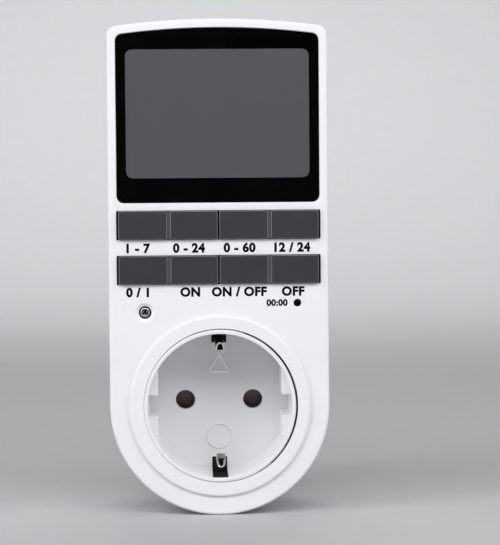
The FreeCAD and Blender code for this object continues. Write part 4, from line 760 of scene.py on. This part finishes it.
def make_spring():
    """The shutter's coil, up to its stop."""
    form = Form("z")
    low, high, middle, mean, wire = 3.5, 14.4, -34.4, 0.87, 0.17
    turns, turn_steps, end_turns = 9, 16, 0.75
    path = []
    for i in range(turns * turn_steps + 1):
        turn = i / turn_steps
        t = 2 * math.pi * turn
        rise = min(max((turn - end_turns) / (turns - 2 * end_turns), 0), 1)
        path.append((mean * math.cos(t), middle + mean * math.sin(t),
                     low + wire + (high - low - 2 * wire) * rise))
    form.rod(path, wire, 8)
    coil = form.piece("shutter_coil", "steel")
    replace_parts(coil, "shutter_spring")
    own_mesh(coil)


# Fasteners, pins and plug strips

def make_screw(form, x, z, seat, side, head, height, dome, shank, length, recess):
    """A pan head screw with its thread; side is the way that its head points along y.

    Head and shank are radii, height and dome are the head's, and recess is the outline of the driver's recess.
    """
    pitch, start, point = 0.7, 0.3, 0.3                            # the thread, and its distance from both ends
    neck, thread_root, point_root, tip = 0.86, 0.84, 0.7, 0.25     # radii as shares of the shank's
    top = seat + side * height
    profile = [(head, seat), (head, top - side * dome)]
    for i in range(1, 6):
        t = QUARTER_TURN * i / 5
        profile.append((head - dome * (1 - math.cos(t)), top - side * dome * (1 - math.sin(t))))
    first, last = form.turn(x, z, profile)
    slot = form.sweep(recess, [(-0.06, top), (0, top - side * 0.07), (0.02, top - side * 0.7)])
    form.cap(last, slot[0])
    form.cap(slot[1])
    steps = [(shank * neck, seat)]
    for i in range(int(length / pitch)):
        at = seat - side * (start + pitch * i)
        steps += [(shank * thread_root, at), (shank, at - side * pitch / 2)]
    steps += [(shank * point_root, seat - side * (length - point)), (shank * tip, seat - side * length)]
    shank_start, shank_end = form.turn(x, z, steps, 20)
    form.cap(first, shank_start)
    form.cap(shank_end)


def paint_recess_shade(screws, near, far):
    """Painted shade: black for the drivers' recesses, between the depths near and far, and for the heads'
    sides.
    """
    def shade(x, y, z, level):
        away = min(math.hypot(x - a, z - b) for a, b in (FRONT_SCREW, *REAR_SCREWS))
        recess = away < 1.3 and near < y < far
        head_side = 1.3 < away < 2.2 and level < 0.3 and near - 0.4 < y < far + 0.4
        return SHADE_BLACK if recess or head_side else PLAIN

    paint(screws, ("painted_shade_black",), shade)


def make_screws():
    form = Form()
    x, z = FRONT_SCREW
    recess = star(x, z, arms=3, reach=0.9, half=0.16, core=0.36, turn=QUARTER_TURN)
    make_screw(form, x, z, LEDGE, -1, head=1.42, height=1.0, dome=0.42, shank=0.95, length=17.0, recess=recess)
    screw = form.piece("front_screw_turned", "steel", material=finishes["screw_steel"])
    paint_recess_shade(screw, near=-54.4, far=-53.75)
    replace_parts(screw, "front_screw")
    form = Form()
    for number, (x, z) in enumerate(REAR_SCREWS):
        recess = star(x, z, arms=4, reach=1.25, half=0.24, core=0.5, turn=0.3 + number)
        make_screw(form, x, z, WELL_FLOOR, 1, head=2.1, height=1.4, dome=0.5, shank=1.2, length=13.0,
                   recess=recess)
    screws = form.piece("rear_screws_turned", "steel", material=finishes["screw_steel"])
    paint_recess_shade(screws, near=-33.35, far=-32.65)
    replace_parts(screws, "rear_screws")


def make_plug_strip(name, node, side):
    """A sprung earth strip on the boss: it rises towards its middle and turns in at its free end."""
    form = Form("x")
    seat, half = 17.2, 1.95
    points = ((-17.6, seat), (-12.0, seat), (-7.5, 17.35), (-3.4, seat), (-1.95, 17.08))
    path = rounded([(y, side * z) for y, z in points], [0, 8.0, 8.0, 4.0, 0], 4)
    form.solid(thick(path, 0.5), [(0.08, -half), (0, 0.1 - half), (0, half - 0.1), (0.08, half)])
    form.block(thick([(-30.0, side * seat), (-17.5, side * seat)], 0.7), -half, half)
    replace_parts(form.piece(name, "nickel"), node)


def make_pin(name, node, x):
    """A plug pin with a rounded tip, and the flange and tail that the contact carrier holds."""
    form = Form()
    radius, root = 2.4, -2.5
    tip_start, tip_length, tip_round = 17.4, 1.6, 1.9
    turns = [QUARTER_TURN * i / 8 for i in range(9)]
    tip = [(radius - tip_round * (1 - math.cos(t)), tip_start + tip_length * math.sin(t)) for t in turns]
    first, last = form.turn(x, 0, [(radius, root), (radius, BOSS_END)] + tip, 56)
    form.cap(last)
    form.cap(first)
    form.block(square(x, 0, 3.3, 0.4), -4.0, root, 0.15)
    form.block(square(x, 0, 1.6, 0.2), -5.4, -3.9, 0.1)
    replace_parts(form.piece(name, "nickel"), node)


make_front_cover()
make_rear_housing()
make_lens()
for level, row in zip(("upper", "lower"), KEY_ROWS):
    for side, x in (("left", -KEY_X), ("right", KEY_X)):
        make_key(f"key_{level}_{side}", f"double_key_{level}_{side}", f"key_{level}_{side}", x, row)
make_insert()
make_floor()
make_clip()
make_slot_shade_sheets()
make_spring()
make_screen_film()
make_screws()
make_pin("pin_live", "plug_pin_live", -PIN_X)
make_pin("pin_neutral", "plug_pin_neutral", PIN_X)
make_plug_strip("plug_strip_upper", "upper_plug_earth_strip", 1)
make_plug_strip("plug_strip_lower", "lower_plug_earth_strip", -1)


# Lettering on the face: numbers and ON/OFF only.

CAP_SHARE = 0.69              # a capital's height as a share of the type's size
BOLDNESS = 0.17 / 2.3         # added weight as a share of a capital's height
LABELS = (                    # text, middle, foot and a capital's height
    ("1 - 7", -22.2, 42.1, 2.3), ("0 - 24", -8.1, 42.1, 2.3), ("0 - 60", 5.7, 42.1, 2.3),
    ("12 / 24", 19.8, 42.1, 2.3), ("0 / 1", -21.9, 30.1, 2.3), ("ON", -7.8, 30.1, 2.3),
    ("ON / OFF", 5.5, 30.1, 2.3), ("OFF", 20.2, 30.1, 2.3), ("00:00", 15.8, 27.3, 1.65))


def letter(name, text, x, z, cap):
    """Flat printed characters as high as cap, with the middle of their line at x and their feet at z."""
    curve = bpy.data.curves.new(name, "FONT")
    curve.body = text
    curve.align_x = "CENTER"
    curve.space_character = 1.08
    curve.size = cap * MM / CAP_SHARE
    curve.extrude = 0.008 * MM
    curve.offset = cap * MM * BOLDNESS
    curve.resolution_u = 4
    thing = bpy.data.objects.new(name, curve)
    bpy.context.scene.collection.objects.link(thing)
    thing.location = (x * MM, FACE * MM, z * MM)
    thing.rotation_euler = (QUARTER_TURN, 0, 0)
    bpy.context.view_layer.update()
    thing.data.materials.append(finishes["print_black"])
    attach(thing, "casing")


for number, label in enumerate(LABELS):
    letter(f"label_{number + 1}", *label)


# Floor, light and camera, in metres.

def backdrop():
    """A pale sheet: level under the object, then curved up behind it."""
    front, bend, level, radius, top, half, steps = -1.6, 0.9, -0.03, 0.5, 2.2, 2.6, 12
    bm = bmesh.new()
    rows = [(front, level), (bend, level)]
    for step in range(1, steps + 1):
        turn = QUARTER_TURN * step / steps
        rows.append((bend + radius * math.sin(turn), level + radius * (1 - math.cos(turn))))
    rows.append((bend + radius, top))
    sides = [[bm.verts.new((x, y, z)) for y, z in rows] for x in (-half, half)]
    for a, b, c, d in zip(sides[0], sides[0][1:], sides[1][1:], sides[1]):
        bm.faces.new((a, b, c, d))
    sheet = mesh_piece("backdrop", bm, finishes["backdrop_pale"])


def lamp(name, place, aim, size, power, spread=180):
    """A rectangular light of that size in metres, power in watts and spread in degrees, aimed at a point."""
    data = bpy.data.lights.new(name, "AREA")
    data.shape = "RECTANGLE"
    data.size, data.size_y = size
    data.energy = power
    data.spread = math.radians(spread)
    thing = bpy.data.objects.new(name, data)
    bpy.context.scene.collection.objects.link(thing)
    thing.location = place
    thing.rotation_euler = (Vector(aim) - Vector(place)).to_track_quat("-Z", "Y").to_euler()


backdrop()
target = (0, -0.05, 0.04)
lamp("light_top", (-0.06, -0.6, 0.55), target, (1.7, 0.32), 6.6)
lamp("light_left", (-0.9, -0.5, 0.45), target, (0.5, 0.9), 5.2)
lamp("light_right", (0.9, -0.5, 0.4), target, (0.5, 0.9), 4.1)
lamp("light_back", (0.1, 0.8, 0.9), target, (0.8, 0.4), 3.0)
lamp("light_sheet", (0, 0.55, 1.3), (0, 1.3, 0.2), (1.8, 0.3), 6.5, 90)     # lights the backdrop
world = bpy.data.worlds.new("studio")
bpy.context.scene.world = world
world.use_nodes = True
sky = world.node_tree.nodes["Background"]
sky.inputs["Color"].default_value = (0.9, 0.92, 1.0, 1)
sky.inputs["Strength"].default_value = 0.05
bpy.context.scene.view_settings.view_transform = "Standard"

FOCAL_PIXELS, PICTURE_PIXELS, SENSOR = 1862.2, 545, 36     # focal length and picture height; sensor in mm
camera = bpy.data.cameras.new("camera")
camera.sensor_width = SENSOR
camera.lens = FOCAL_PIXELS / PICTURE_PIXELS * SENSOR
camera.clip_start = 0.01
camera.clip_end = 20
eye = bpy.data.objects.new("camera", camera)
bpy.context.scene.collection.objects.link(eye)
right = Vector((0.999478, -0.031265, -0.008155))
up = Vector((0.009431, 0.040872, 0.99912))
back = Vector((-0.030904, -0.998675, 0.041145))
turn = Matrix((right, up, back)).transposed().to_4x4()
eye.matrix_world = Matrix.Translation((-0.00721, -0.562, 0.05729)) @ turn
bpy.context.scene.camera = eye
